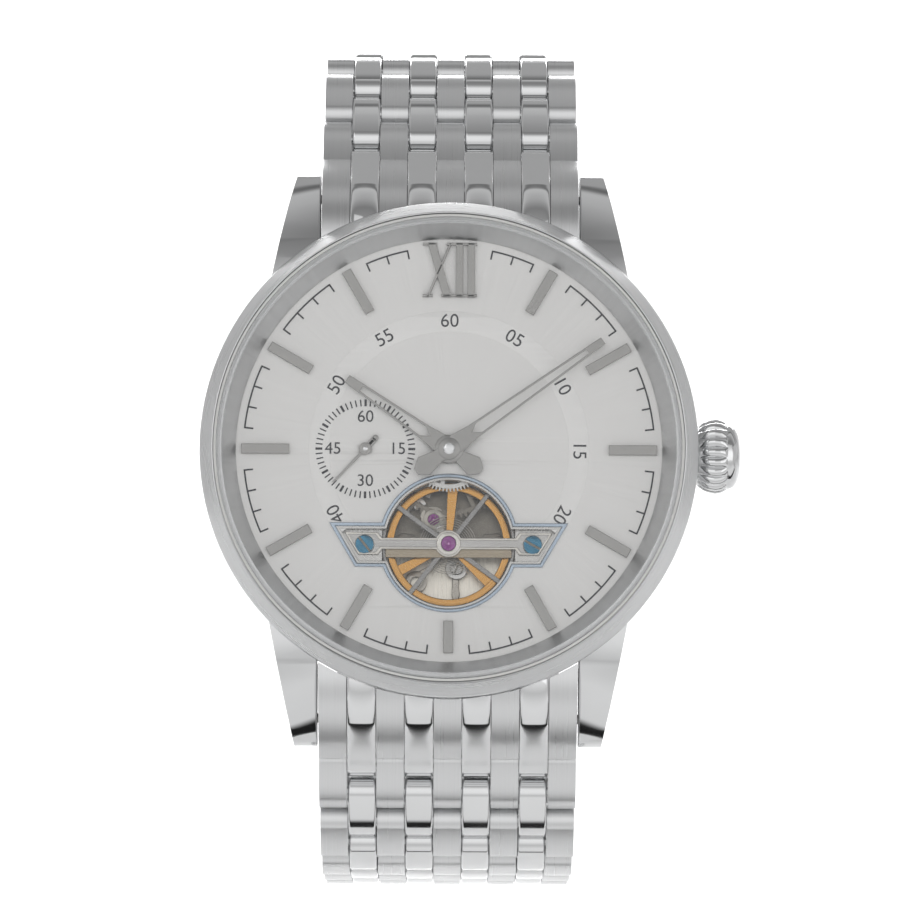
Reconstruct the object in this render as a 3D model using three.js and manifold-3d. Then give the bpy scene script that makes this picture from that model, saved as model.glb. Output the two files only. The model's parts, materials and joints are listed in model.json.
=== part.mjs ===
// Open-heart automatic wristwatch on a nine-column steel bracelet, closed as it is on a wrist.
//
// Everything is drawn in the watch's own frame, in millimetres: x runs from the centre of the
// dial to the crown, y runs to 12 o'clock, and z runs out of the case back, through the dial, to
// the wearer. z = 0 is the outer face of the case back's crystal. The last lines stand the watch
// up, so that in the exported frame the dial faces -Y, 12 o'clock is +Z and the crown is +X.

import * as THREE from 'three';
import { mergeVertices } from 'three/addons/utils/BufferGeometryUtils.js';
import Module from 'manifold-3d';

const wasm = await Module();
wasm.setup();

// ---------------------------------------------------------------- driving dimensions

const CASE_RADIUS = 20.6;
const BEZEL_RADIUS = 21;
const MOVEMENT_RADIUS = 15.4;
const MOVEMENT_ROOM = 17.4;
const DIAL_RADIUS = 18.2;
const CRYSTAL_RADIUS = 19.5;
const BACK_CRYSTAL_RADIUS = 14.6;

const CASE_BACK = { bottom: 0.15, top: 1.7 };
const CASE = { bottom: 1.8, seat: 7.2, top: 7.9 };
const ROTOR = { bottom: 1.85, web: 2.35, top: 2.75 };
const KEYLESS_WHEELS = { bottom: 2.95, top: 3.2 };
const BACK_BRIDGES = { bottom: 3.3, top: 4.1 };
const MAIN_PLATE = { bottom: 5.8, top: 6.9 };
const BALANCE = { bottom: 6.05, top: 6.5 };
const GUARD = { bottom: 6.62, top: 6.85 };
const MOTION_WORK = { bottom: 7, top: 7.2 };
const DIAL = { bottom: 7.3, top: 7.7 };
const SMALL_SECONDS_HAND = { bottom: 7.85, top: 8 };
const HOUR_HAND = { bottom: 8.15, top: 8.3 };
const MINUTE_HAND = { bottom: 8.5, top: 8.65 };
const REHAUT = { bottom: 7.78, top: 9.3 };
const BEZEL = { bottom: 8, shoulder: 8.3, top: 9.92 };
const CRYSTAL = { bottom: 9.4, edge: 10.45, top: 10.9 };

const SMALL_SECONDS = [-7.05, 0];
const BALANCE_CENTRE = [0, -7.9];
const PALLET_PIVOT = [-1.28, -5.66];
const ESCAPE_CENTRE = [-3.4, -3];
const THIRD_CENTRE = [-5, 3.9];
const BARREL_CENTRE = [4.8, 4.5];
const CROWN_WHEEL_CENTRE = [9.85, 0];
const MINUTE_WHEEL_CENTRE = [4.2, 2.7];
const BRIDGE_SCREW_X = 7.07;
const BRIDGE_SCREW_Y = -8;

const HEART_RADIUS = 5.4;
const HEART_FRAME_WIDTH = 0.45;
const WING = { top: -6.3, bottom: -10, topHalfWidth: 10, bottomHalfWidth: 7.85 };

const CROWN_AXIS_Z = 4.3;
const CROWN_START = 20.95;
const CROWN_END = 24.6;

const LUG = { inner: 11.1, outer: 15, tip: 24.3, tipOuter: 13, creaseOuter: 14.4, crease: 17.9 };
const SPRING_BAR = { y: 22.2, z: 2.2, radius: 0.75, pinRadius: 0.4, halfLength: 10.8, reach: 11.9 };

const COLUMNS = 9;
const BRACELET_HALF_WIDTH = 10.9;
const BRACELET_NARROWING = 0.9;
const LINK_PITCH = 6.25;
const LINK_RADIUS = 1.45;
const TONGUE_RADIUS = 1.42;
const LINKS_PER_SIDE = 21;
const SEGMENT_ENDS = [0, 2, 6, 10, 14, 18, 21];
const FIRST_PIN = [25.5, 0.1];
const PIN_RADIUS = 0.45;
const PIN_HOLE_RADIUS = 0.7;
const JOINT_ROOM = 0.3;
const SIDE_ROOM = 0.06;

// Slope of each half pitch below the dial plane, in degrees. The first ones fall away from the
// case, then the bracelet runs straight back and turns round under the wrist.
const SIDES = {
  12: { direction: 1, firstSlopes: [34, 36, 40, 52, 72, 86], straight: 2, curl: 1.3 },
  6: { direction: -1, firstSlopes: [38, 44, 60, 74, 86, 90], straight: 1, curl: 1.22 },
};

const CLASP = {
  wall: 0.9, plate: 1, blade: 0.7, bladeHalfWidth: 8.2,
  knuckleRadius: 0.62, knuckleBore: 0.4, middleKnuckle: 3, outerKnuckle: 8, pin: 0.28,
  buttonRoot: 9.4, buttonReach: 11.6, buttonHalfLength: 1.5,
};

// ---------------------------------------------------------------- materials

const LOOKS = {
  brushedSteel: { color: 0xc4c6c8, roughness: 0.36, metalness: 1 },
  polishedSteel: { color: 0xd8dadc, roughness: 0.12, metalness: 1 },
  greySteel: { color: 0x8e9196, roughness: 0.4, metalness: 1 },
  silverDial: { color: 0xcfcecb, roughness: 0.45, metalness: 0.4 },
  blueSteel: { color: 0x96aac0, roughness: 0.3, metalness: 0.8 },
  bluedScrew: { color: 0x2c6a94, roughness: 0.25, metalness: 1 },
  rhodium: { color: 0xb9bbbd, roughness: 0.35, metalness: 1 },
  gilt: { color: 0xcf9a55, roughness: 0.3, metalness: 1 },
  brass: { color: 0xc8a055, roughness: 0.35, metalness: 1 },
  ruby: { color: 0xa24ca0, roughness: 0.1, metalness: 0 },
  sapphire: { color: 0xf4f8fa, roughness: 0.02, metalness: 0, transparent: true, opacity: 0.2 },
  gasket: { color: 0xe6e6e2, roughness: 0.6, metalness: 0 },
  spacer: { color: 0xd2d2ce, roughness: 0.5, metalness: 0.2 },
};

// ---------------------------------------------------------------- solids

function asSolid(geometry) {
  const bare = geometry.index ? geometry.toNonIndexed() : geometry.clone();
  bare.deleteAttribute('normal');
  bare.deleteAttribute('uv');
  const merged = mergeVertices(bare, 1e-5);
  const corners = Array.from(merged.index.array);
  const kept = [];
  for (let i = 0; i < corners.length; i += 3) {
    const [a, b, c] = corners.slice(i, i + 3);
    if (a !== b && b !== c && c !== a) kept.push(a, b, c);
  }
  return new wasm.Manifold(new wasm.Mesh({
    numProp: 3,
    vertProperties: new Float32Array(merged.getAttribute('position').array),
    triVerts: new Uint32Array(kept),
  }));
}

function asGeometry(solid) {
  const mesh = solid.getMesh();
  const shared = new THREE.BufferGeometry();
  shared.setAttribute('position', new THREE.BufferAttribute(new Float32Array(mesh.vertProperties), 3));
  shared.setIndex(new THREE.BufferAttribute(new Uint32Array(mesh.triVerts), 1));
  const flat = shared.toNonIndexed();
  flat.computeVertexNormals();
  return flat;
}

const join = (first, ...others) => others.reduce((sum, solid) => sum.add(solid), first);
const cut = (first, ...others) => others.reduce((rest, solid) => rest.subtract(solid), first);

function shapeOf(points) {
  return new THREE.Shape(points.map(([x, y]) => new THREE.Vector2(x, y)));
}

// A flat outline, or a THREE.Shape, standing between two heights.
function slab(outline, bottom, top, curveSegments = 10) {
  const shape = Array.isArray(outline) ? shapeOf(outline) : outline;
  const geometry = new THREE.ExtrudeGeometry(shape, {
    depth: top - bottom, bevelEnabled: false, curveSegments,
  });
  geometry.translate(0, 0, bottom);
  return asSolid(geometry);
}

// An outline in the (y, z) plane, run across the watch from one x to another.
function acrossX(outline, fromX, toX) {
  const geometry = new THREE.ExtrudeGeometry(shapeOf(outline), { depth: toX - fromX, bevelEnabled: false });
  geometry.rotateY(Math.PI / 2);
  geometry.rotateX(Math.PI / 2);
  geometry.translate(fromX, 0, 0);
  return asSolid(geometry);
}

function circle(radius, [x, y], sides) {
  const points = [];
  for (let i = 0; i < sides; i += 1) {
    const angle = (2 * Math.PI * (i + 0.5)) / sides;
    points.push([x + radius * Math.cos(angle), y + radius * Math.sin(angle)]);
  }
  return points;
}

function disc(radius, bottom, top, centre = [0, 0], sides = 32) {
  return slab(circle(radius, centre, sides), bottom, top);
}

// A closed profile of [radius, height] corners turned about an axis parallel to z.
function turned(profile, centre = [0, 0], segments = 48) {
  const points = profile.map(([r, z]) => new THREE.Vector2(r, z));
  points.push(points[0].clone());
  const geometry = new THREE.LatheGeometry(points, segments);
  geometry.rotateX(Math.PI / 2);
  geometry.translate(centre[0], centre[1], 0);
  return asSolid(geometry);
}

const ring = (inner, outer, bottom, top, centre, segments) => turned(
  [[inner, bottom], [outer, bottom], [outer, top], [inner, top]], centre, segments,
);

// A bar between two points of the dial plane.
function bar([x1, y1], [x2, y2], width, bottom, top) {
  const length = Math.hypot(x2 - x1, y2 - y1);
  const [sx, sy] = [(-(y2 - y1) / length) * (width / 2), ((x2 - x1) / length) * (width / 2)];
  const corners = [[x1 - sx, y1 - sy], [x2 - sx, y2 - sy], [x2 + sx, y2 + sy], [x1 + sx, y1 + sy]];
  return slab(corners, bottom, top);
}

const polar = (radius, clockwiseDegrees, [x, y] = [0, 0]) => {
  const angle = THREE.MathUtils.degToRad(90 - clockwiseDegrees);
  return [x + radius * Math.cos(angle), y + radius * Math.sin(angle)];
};

const watch = new THREE.Group();

function addPart(name, solid, look) {
  const material = new THREE.MeshStandardMaterial(LOOKS[look]);
  const mesh = new THREE.Mesh(asGeometry(solid), material);
  mesh.name = name;
  watch.add(mesh);
}

// ---------------------------------------------------------------- case

function lug(sideOfCrown, sideOf12) {
  const plan = [
    [LUG.inner, 13], [15.4, 13], [LUG.creaseOuter, LUG.crease], [LUG.tipOuter, LUG.tip + 0.3],
    [LUG.inner, LUG.tip + 0.3],
  ].map(([x, y]) => [x * sideOfCrown, y * sideOf12]);
  const profile = [
    [13.5, 2], [18.5, 1.2], [21.5, 0.2], [23.7, -0.3], [LUG.tip, 0.3], [LUG.tip, 1.6], [24, 2.5],
    [21, 5.1], [LUG.crease, 7], [16, 7.8], [13.5, 7.8],
  ].map(([y, z]) => [y * sideOf12, z]);
  const fromX = sideOfCrown > 0 ? 10.5 : -16;
  const body = slab(plan, -1, 9).intersect(acrossX(profile, fromX, fromX + 5.5));
  const hole = circle(0.55, [SPRING_BAR.y * sideOf12, SPRING_BAR.z], 8);
  const holeFrom = sideOfCrown > 0 ? 10.5 : -12.1;
  return cut(body, acrossX(hole, holeFrom, holeFrom + 1.6));
}

function crownChannel(radius, fromX, toX, sides = 12) {
  return acrossX(circle(radius, [0, CROWN_AXIS_Z], sides), fromX, toX);
}

function caseMiddle() {
  const band = turned([
    [MOVEMENT_ROOM, CASE.bottom], [20, CASE.bottom], [CASE_RADIUS, 2.6], [CASE_RADIUS, 7.3],
    [20.3, CASE.top], [18.5, CASE.top], [18.5, CASE.seat], [MOVEMENT_ROOM, CASE.seat],
  ], [0, 0], 52);
  const lugs = [[1, 1], [-1, 1], [1, -1], [-1, -1]].map(([a, b]) => lug(a, b));
  const inside = disc(MOVEMENT_ROOM + 2.4, 0, 10, [0, 0], 40);
  const trimmed = lugs.map((solid) => cut(solid, inside));
  return cut(join(band, ...trimmed), crownChannel(1.4, 16, 22));
}

addPart('case_middle', caseMiddle(), 'brushedSteel');

addPart('bezel', turned([
  [CRYSTAL_RADIUS, BEZEL.bottom], [BEZEL_RADIUS, BEZEL.bottom], [BEZEL_RADIUS, BEZEL.shoulder],
  [20, BEZEL.top], [19.85, BEZEL.top], [19.85, 9.2], [CRYSTAL_RADIUS, 9.2],
], [0, 0], 52), 'brushedSteel');

addPart('crystal', turned([
  [0, CRYSTAL.bottom], [19.3, CRYSTAL.bottom], [CRYSTAL_RADIUS, 9.6], [CRYSTAL_RADIUS, 10.1],
  [19.1, CRYSTAL.edge], [0, CRYSTAL.top],
], [0, 0], 44), 'sapphire');

addPart('crystal_gasket', ring(19.58, 19.78, 9.3, 9.8, [0, 0], 44), 'gasket');

addPart('rehaut_ring', turned([
  [17.95, REHAUT.bottom], [18.4, REHAUT.bottom], [18.4, 8.1], [19.35, 8.4],
  [19.35, REHAUT.top], [19.1, REHAUT.top],
], [0, 0], 40), 'rhodium');

addPart('case_back', turned([
  [15, CASE_BACK.bottom], [19.3, CASE_BACK.bottom], [19.6, 0.6], [19.6, CASE_BACK.top],
  [13.8, CASE_BACK.top], [13.8, 1.3], [15, 1.3],
], [0, 0], 44), 'polishedSteel');

addPart('case_back_crystal', disc(BACK_CRYSTAL_RADIUS, 0, 1.2, [0, 0], 44), 'sapphire');

addPart('crown_tube', cut(crownChannel(1.3, 17.3, 20.9), crownChannel(0.75, 16, 22)), 'brushedSteel');

addPart('movement_ring', cut(
  ring(15.6, 17.2, 4.2, MAIN_PLATE.top, [0, 0], 32),
  crownChannel(0.9, 14, 18),
), 'spacer');

// ---------------------------------------------------------------- dial and open heart

// The keyhole of the open heart: a round window with a wing on each side. 'grow' widens it.
function heartOpening(grow, bottom, top) {
  const wings = slab([
    [-WING.bottomHalfWidth - grow, WING.bottom - grow], [WING.bottomHalfWidth + grow, WING.bottom - grow],
    [WING.topHalfWidth + 1.2 * grow, WING.top + grow], [-WING.topHalfWidth - 1.2 * grow, WING.top + grow],
  ], bottom, top);
  return join(disc(HEART_RADIUS + grow, bottom, top, BALANCE_CENTRE, 28), wings);
}

function hourMarker(hour) {
  const [from, to] = hour === 6 ? [14.5, 17.2] : [13.5, 17.5];
  const angle = hour * 30;
  const width = hour === 12 ? 4.4 : 0.8;
  const start = hour === 12 ? 13 : from;
  return bar(polar(start, angle), polar(hour === 12 ? 17.3 : to, angle), width, DIAL.top - 0.1, 8.05);
}

function dial() {
  const plate = cut(
    disc(DIAL_RADIUS, DIAL.bottom, DIAL.top, [0, 0], 48),
    heartOpening(0, 7, 8),
    disc(1.15, 7, 8, [0, 0], 16),
    disc(0.4, 7, 8, SMALL_SECONDS, 10),
  );
  const markers = [];
  for (let hour = 1; hour <= 12; hour += 1) markers.push(hourMarker(hour));
  return join(plate, ...markers);
}

addPart('dial', dial(), 'silverDial');
addPart('aperture_frame', cut(
  heartOpening(HEART_FRAME_WIDTH, DIAL.top + 0.02, DIAL.top + 0.2),
  heartOpening(0, 7, 9),
), 'blueSteel');

// ---------------------------------------------------------------- movement, fixed pieces

function mainPlate() {
  const holes = [
    disc(HEART_RADIUS + 0.35, 5, 8, BALANCE_CENTRE, 32),
    disc(0.6, 5, 8, [0, 0], 12),
    disc(0.35, 5, 8, SMALL_SECONDS, 10),
    disc(0.5, 5, 8, [BRIDGE_SCREW_X, BRIDGE_SCREW_Y], 10),
    disc(0.5, 5, 8, [-BRIDGE_SCREW_X, BRIDGE_SCREW_Y], 10),
  ];
  return cut(disc(MOVEMENT_RADIUS, MAIN_PLATE.bottom, MAIN_PLATE.top, [0, 0], 48), ...holes);
}

addPart('main_plate', mainPlate(), 'rhodium');

// The back bridges share one disc: the barrel bridge is its larger part, above a slanting joint.
const BRIDGE_JOINT = { left: -2.2, right: -1.2 };

function bridgeHalf(side) {
  const reach = 16;
  const gap = 0.1 * side;
  const half = slab([
    [-reach, BRIDGE_JOINT.left + gap], [reach, BRIDGE_JOINT.right + gap],
    [reach, reach * side], [-reach, reach * side],
  ], BACK_BRIDGES.bottom, BACK_BRIDGES.top);
  return disc(MOVEMENT_RADIUS - 0.2, BACK_BRIDGES.bottom, BACK_BRIDGES.top, [0, 0], 40).intersect(half);
}

const stemRoom = slab([[10.3, -1.3], [16, -1.3], [16, 1.3], [10.3, 1.3]], 2, 5);

addPart('barrel_bridge', cut(
  bridgeHalf(1), stemRoom, disc(0.8, 2, 5, BARREL_CENTRE, 12), disc(0.6, 2, 5, CROWN_WHEEL_CENTRE, 10),
), 'rhodium');
addPart('train_bridge', cut(bridgeHalf(-1), stemRoom), 'rhodium');

function balanceBridge() {
  const lift = 0.28;
  const plates = [1, -1].map((side) => slab([
    [5.95 * side, WING.top + 0.3], [(WING.topHalfWidth + 0.3) * side, WING.top + 0.3],
    [(WING.bottomHalfWidth + 0.1) * side, WING.bottom - 0.3], [5.95 * side, WING.bottom - 0.3],
  ], 6.95, 7.2));
  const arm = bar([-8.3, BALANCE_CENTRE[1]], [8.3, BALANCE_CENTRE[1]], 0.85, 6.95, 7.2 + lift);
  const hub = disc(1.15, 6.95, 7.2 + lift, BALANCE_CENTRE, 16);
  const screws = [1, -1].map((side) => [BRIDGE_SCREW_X * side, BRIDGE_SCREW_Y]);
  return cut(
    join(plates[0], plates[1], arm, hub),
    disc(0.74, 7.02, 8, BALANCE_CENTRE, 12),
    ...screws.map((centre) => disc(0.5, 6, 8, centre, 10)),
    ...screws.map((centre) => disc(0.95, 7.2, 8, centre, 12)),
  );
}

addPart('balance_bridge', balanceBridge(), 'rhodium');

for (const [name, side] of [['bridge_screw_left', -1], ['bridge_screw_right', 1]]) {
  const centre = [BRIDGE_SCREW_X * side, BRIDGE_SCREW_Y];
  addPart(name, join(disc(0.76, 7.26, 7.5, centre, 12), disc(0.38, 6, 7.3, centre, 8)), 'bluedScrew');
}

addPart('balance_jewel', disc(0.68, 7.06, 7.46, BALANCE_CENTRE, 12), 'ruby');

function heartGuard() {
  const rim = ring(HEART_RADIUS - 0.05, HEART_RADIUS + 0.2, GUARD.bottom, GUARD.top, BALANCE_CENTRE, 24);
  const end = (angle) => polar(HEART_RADIUS + 0.05, angle, BALANCE_CENTRE);
  const arms = [38, 126.5].map((angle) => bar(end(angle), end(angle + 180), 0.36, GUARD.bottom, GUARD.top));
  return cut(join(rim, ...arms, disc(0.7, GUARD.bottom, GUARD.top, BALANCE_CENTRE, 12)),
    disc(0.35, 6, 8, BALANCE_CENTRE, 10));
}

addPart('heart_guard', heartGuard(), 'greySteel');
addPart('rotor_bearing', disc(1.45, 1.95, 3.24, [0, 0], 20), 'polishedSteel');

// ---------------------------------------------------------------- movement, moving pieces

function stepped(centre, ...steps) {
  return join(...steps.map(([radius, bottom, top, sides]) => disc(radius, bottom, top, centre, sides)));
}

function balanceWheel() {
  const spokes = [4, 133, 242].map((angle) => bar(
    BALANCE_CENTRE, polar(4.9, angle, BALANCE_CENTRE), 0.5, BALANCE.bottom, BALANCE.top,
  ));
  return join(
    ring(4.6, 5.22, BALANCE.bottom, BALANCE.top, BALANCE_CENTRE, 24),
    ...spokes,
    disc(0.6, BALANCE.bottom - 0.05, BALANCE.top, BALANCE_CENTRE, 12),
    disc(0.2, 4.4, 6.9, BALANCE_CENTRE, 8),
  );
}

addPart('balance_wheel', balanceWheel(), 'gilt');
addPart('hairspring', ring(0.8, 2.6, 5.72, 5.94, BALANCE_CENTRE, 20), 'bluedScrew');

function palletFork() {
  const level = [5.18, 5.36];
  const towards = (target, reach) => {
    const [dx, dy] = [target[0] - PALLET_PIVOT[0], target[1] - PALLET_PIVOT[1]];
    const length = Math.hypot(dx, dy);
    return [PALLET_PIVOT[0] + (dx * reach) / length, PALLET_PIVOT[1] + (dy * reach) / length];
  };
  const [dx, dy] = [BALANCE_CENTRE[0] - PALLET_PIVOT[0], BALANCE_CENTRE[1] - PALLET_PIVOT[1]];
  const length = Math.hypot(dx, dy);
  const sideways = (reach) => [
    PALLET_PIVOT[0] - (dy * reach) / length, PALLET_PIVOT[1] + (dx * reach) / length,
  ];
  return join(
    disc(0.35, 4.6, 5.5, PALLET_PIVOT, 10),
    bar(PALLET_PIVOT, towards(BALANCE_CENTRE, 1.8), 0.3, ...level),
    bar(sideways(-1.25), sideways(1.25), 0.4, ...level),
  );
}

addPart('pallet_fork', palletFork(), 'greySteel');
addPart('escape_wheel', stepped(ESCAPE_CENTRE, [1.9, 5.2, 5.34, 15], [0.34, 4.25, 5.3, 7]), 'greySteel');
addPart('third_wheel', stepped(THIRD_CENTRE,
  [3.75, 4.9, 5.1, 30], [0.65, 5.0, 5.7, 10]), 'brass');
addPart('fourth_wheel', stepped(SMALL_SECONDS,
  [4.2, 4.35, 4.5, 32], [0.48, 4.45, 5.3, 10], [0.2, 5.2, 7.8, 8]), 'brass');
addPart('center_wheel', stepped([0, 0],
  [5.5, 5.45, 5.65, 32], [0.95, 4.4, 5.55, 12]), 'brass');
addPart('mainspring_barrel', disc(5.4, 4.35, 5.3, BARREL_CENTRE, 32), 'brass');
addPart('ratchet_wheel', stepped(BARREL_CENTRE,
  [4, KEYLESS_WHEELS.bottom, KEYLESS_WHEELS.top, 28], [0.6, 3, 4.25, 10]), 'polishedSteel');
addPart('crown_wheel', stepped(CROWN_WHEEL_CENTRE,
  [2.6, KEYLESS_WHEELS.bottom, KEYLESS_WHEELS.top, 24], [0.4, 3, 4, 10]), 'polishedSteel');

// The winding weight: a half disc with a thick rim, hanging towards 6 o'clock.
function halfRing(inner, outer, bottom, top) {
  const shape = new THREE.Shape();
  shape.absarc(0, 0, outer, Math.PI, 2 * Math.PI, false);
  shape.absarc(0, 0, inner, 2 * Math.PI, Math.PI, true);
  return slab(shape, bottom, top, 14);
}

addPart('rotor', join(
  ring(1.6, 3.1, ROTOR.bottom, ROTOR.top, [0, 0], 24),
  halfRing(2.9, 11.6, ROTOR.bottom, ROTOR.web),
  halfRing(11.4, 14.4, ROTOR.bottom, ROTOR.top),
), 'rhodium');

addPart('hour_wheel', cut(
  stepped([0, 0], [3.4, MOTION_WORK.bottom, MOTION_WORK.top, 30], [0.95, 7.05, 8.08, 14]),
  disc(0.68, 6, 9, [0, 0], 12),
), 'rhodium');
addPart('minute_wheel', disc(1.45, MOTION_WORK.bottom, MOTION_WORK.top, MINUTE_WHEEL_CENTRE, 20), 'brass');

// ---------------------------------------------------------------- hands

// A tapering hand with a slot along it, an arrow tail and a round hub.
function hand(clockwise, length, halfWidths, slot, tail, level, hubRadius) {
  const [atRoot, atTip] = halfWidths;
  const along = (distance, offset) => {
    const [x, y] = polar(distance, clockwise);
    const [sx, sy] = polar(offset, clockwise + 90);
    return [x + sx, y + sy];
  };
  const outline = [
    along(length, -atTip), along(length, atTip), along(0, atRoot), along(-1.6, 0.4), along(-2.3, 0.85),
    along(-tail, 0), along(-2.3, -0.85), along(-1.6, -0.4), along(0, -atRoot),
  ];
  const solid = slab(outline.reverse(), level.bottom, level.top);
  const widthAt = (distance) => atRoot + ((atTip - atRoot) * distance) / length - 0.2;
  const window = [
    along(slot[0], -widthAt(slot[0])), along(slot[1], -widthAt(slot[1])),
    along(slot[1], widthAt(slot[1])), along(slot[0], widthAt(slot[0])),
  ];
  return cut(
    join(solid, disc(hubRadius, level.bottom, level.top, [0, 0], 20)),
    slab(window.reverse(), 7, 9.5),
  );
}

addPart('hour_hand', cut(
  hand(304.6, 10.46, [0.68, 0.38], [2.4, 9], 3.2, HOUR_HAND, 1.25),
  disc(0.68, 8, 9, [0, 0], 12),
), 'greySteel');

addPart('minute_hand', join(
  hand(54.5, 15.9, [0.65, 0.32], [3.1, 14.25], 3.36, MINUTE_HAND, 0.92),
  disc(0.49, 6.98, 8.88, [0, 0], 12),
), 'greySteel');

function smallSecondsHand() {
  const angle = 223.3;
  const { bottom, top } = SMALL_SECONDS_HAND;
  return join(
    bar(polar(3.96, angle, SMALL_SECONDS), polar(1.48, angle + 180, SMALL_SECONDS), 0.28, bottom, top),
    disc(0.53, bottom, top, SMALL_SECONDS, 12),
  );
}

addPart('small_seconds_hand', smallSecondsHand(), 'greySteel');

// ---------------------------------------------------------------- crown and stem

// A profile of [distance from the case centre, radius] corners, turned about the crown's axis.
function turnedAboutStem(profile, segments) {
  const points = profile.map(([x, r]) => new THREE.Vector2(r, x));
  points.push(points[0].clone());
  const geometry = new THREE.LatheGeometry(points, segments);
  geometry.rotateZ(-Math.PI / 2);
  geometry.translate(0, 0, CROWN_AXIS_Z);
  return asSolid(geometry);
}

addPart('crown', turnedAboutStem([
  [CROWN_START, 0.8], [CROWN_START, 2.6], [21.5, 2.95], [22.4, 3.2], [23.2, 3],
  [24.2, 2.4], [CROWN_END, 1.7], [CROWN_END, 0], [22.2, 0], [22.2, 0.8],
], 24), 'polishedSteel');
addPart('stem', turnedAboutStem([
  [10.9, 0], [10.9, 0.4], [13.6, 0.4], [13.6, 0.6], [22.1, 0.6], [22.1, 0],
], 10), 'greySteel');
addPart('sliding_pinion', turnedAboutStem([
  [11, 0.5], [11, 0.85], [13.1, 0.85], [13.1, 0.5],
], 14), 'greySteel');

// ---------------------------------------------------------------- bracelet

const degrees = THREE.MathUtils.degToRad;

// The hinge pins of one side, each half a pitch from the last, as [y, z] with y away from the dial.
function pinsOf({ firstSlopes, straight, curl }) {
  const pins = [FIRST_PIN];
  const bentFrom = firstSlopes.length + straight;
  for (let i = 0; i < LINKS_PER_SIDE; i += 1) {
    const bend = Math.max(0, (i - bentFrom) / (LINKS_PER_SIDE - 1 - bentFrom)) ** curl;
    const slope = degrees(i < firstSlopes.length ? firstSlopes[i] : 90 + 90 * bend);
    const [y, z] = pins[i];
    pins.push([y + (LINK_PITCH / 2) * Math.cos(slope), z - (LINK_PITCH / 2) * Math.sin(slope)]);
  }
  return pins;
}

const halfWidthAt = (link) => BRACELET_HALF_WIDTH - (BRACELET_NARROWING * link) / LINKS_PER_SIDE;

// The x ranges of the odd columns (1, 3, 5, 7, 9) or the even ones (2, 4, 6, 8).
function columnsAt(link, odd) {
  const width = (2 * halfWidthAt(link)) / COLUMNS;
  const ranges = [];
  for (let column = odd ? 0 : 1; column < COLUMNS; column += 2) {
    const from = -halfWidthAt(link) + column * width;
    ranges.push([from + SIDE_ROOM / 2, from + width - SIDE_ROOM / 2]);
  }
  return ranges;
}

function directionOf([y1, z1], [y2, z2]) {
  const length = Math.hypot(y2 - y1, z2 - z1);
  return [(y2 - y1) / length, (z2 - z1) / length];
}

// A flat tongue with a round end about a pin, reaching 'length' along a direction from it.
function tonguePoints([y, z], [ty, tz], length) {
  const arc = [];
  for (let i = 0; i <= 3; i += 1) {
    const angle = Math.PI / 2 + (Math.PI * i) / 3;
    const [along, up] = [TONGUE_RADIUS * Math.cos(angle), TONGUE_RADIUS * Math.sin(angle)];
    arc.push([y + along * ty - up * tz, z + along * tz + up * ty]);
  }
  const far = [y + length * ty, z + length * tz];
  return [
    ...arc,
    [far[0] + TONGUE_RADIUS * tz, far[1] - TONGUE_RADIUS * ty],
    [far[0] - TONGUE_RADIUS * tz, far[1] + TONGUE_RADIUS * ty],
  ];
}

const mirrored = (points, direction) => (
  direction > 0 ? points : points.map(([y, z]) => [-y, z]).reverse()
);

// Tongues in every odd or even column. A hinge has a short pin at each edge of the bracelet: the
// odd columns hold it, and the outermost even ones turn on it.
function tongues(pin, along, link, odd, direction, holdsPin) {
  const outline = mirrored(tonguePoints(pin, along, LINK_RADIUS + JOINT_ROOM + 0.2), direction);
  const solids = columnsAt(link, odd).map(([from, to]) => acrossX(outline, from, to));
  const centre = [pin[0] * direction, pin[1]];
  const width = (2 * halfWidthAt(link)) / COLUMNS;
  const edge = halfWidthAt(link) - width / 2;
  const pinEnd = edge - 2 * width;
  const both = (outline6) => [acrossX(outline6, pinEnd, edge), acrossX(outline6, -edge, -pinEnd)];
  if (holdsPin) return join(...solids, ...both(circle(PIN_RADIUS, centre, 6)));
  const bores = both(circle(PIN_HOLE_RADIUS, centre, 6));
  const isBored = (i) => (odd ? i !== 2 : i === 0 || i === solids.length - 1);
  return join(...solids.map((solid, i) => (isBored(i) ? cut(solid, ...bores) : solid)));
}

// The solid middle of a segment: the links' centre line, thickened, between the two hinge rooms.
function segmentCore(pins, direction, halfWidth) {
  const room = LINK_RADIUS + JOINT_ROOM;
  const last = pins.length - 1;
  const startWay = directionOf(pins[0], pins[1]);
  const endWay = directionOf(pins[last - 1], pins[last]);
  const line = [
    [pins[0][0] + room * startWay[0], pins[0][1] + room * startWay[1]],
    ...pins.slice(1, last),
    [pins[last][0] - room * endWay[0], pins[last][1] - room * endWay[1]],
  ];
  const offset = (side) => line.map((point, i) => {
    const before = i > 0 ? directionOf(line[i - 1], point) : startWay;
    const after = i < line.length - 1 ? directionOf(point, line[i + 1]) : endWay;
    const [ty, tz] = directionOf([0, 0], [before[0] + after[0], before[1] + after[1]]);
    return [point[0] - side * LINK_RADIUS * tz, point[1] + side * LINK_RADIUS * ty];
  });
  const outline = [...offset(-1), ...offset(1).reverse()];
  return acrossX(mirrored(outline, direction), -halfWidth, halfWidth);
}

function braceletSegment(pins, from, to, direction) {
  const own = pins.slice(from, to + 1);
  const last = own.length - 1;
  const core = segmentCore(own, direction, halfWidthAt(to));
  const near = tongues(own[0], directionOf(own[0], own[1]), from, true, direction, true);
  const farIsOdd = (to - 1) % 2 === 0;
  const far = tongues(own[last], directionOf(own[last], own[last - 1]), to, farIsOdd, direction, false);
  return join(core, near, far);
}

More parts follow.
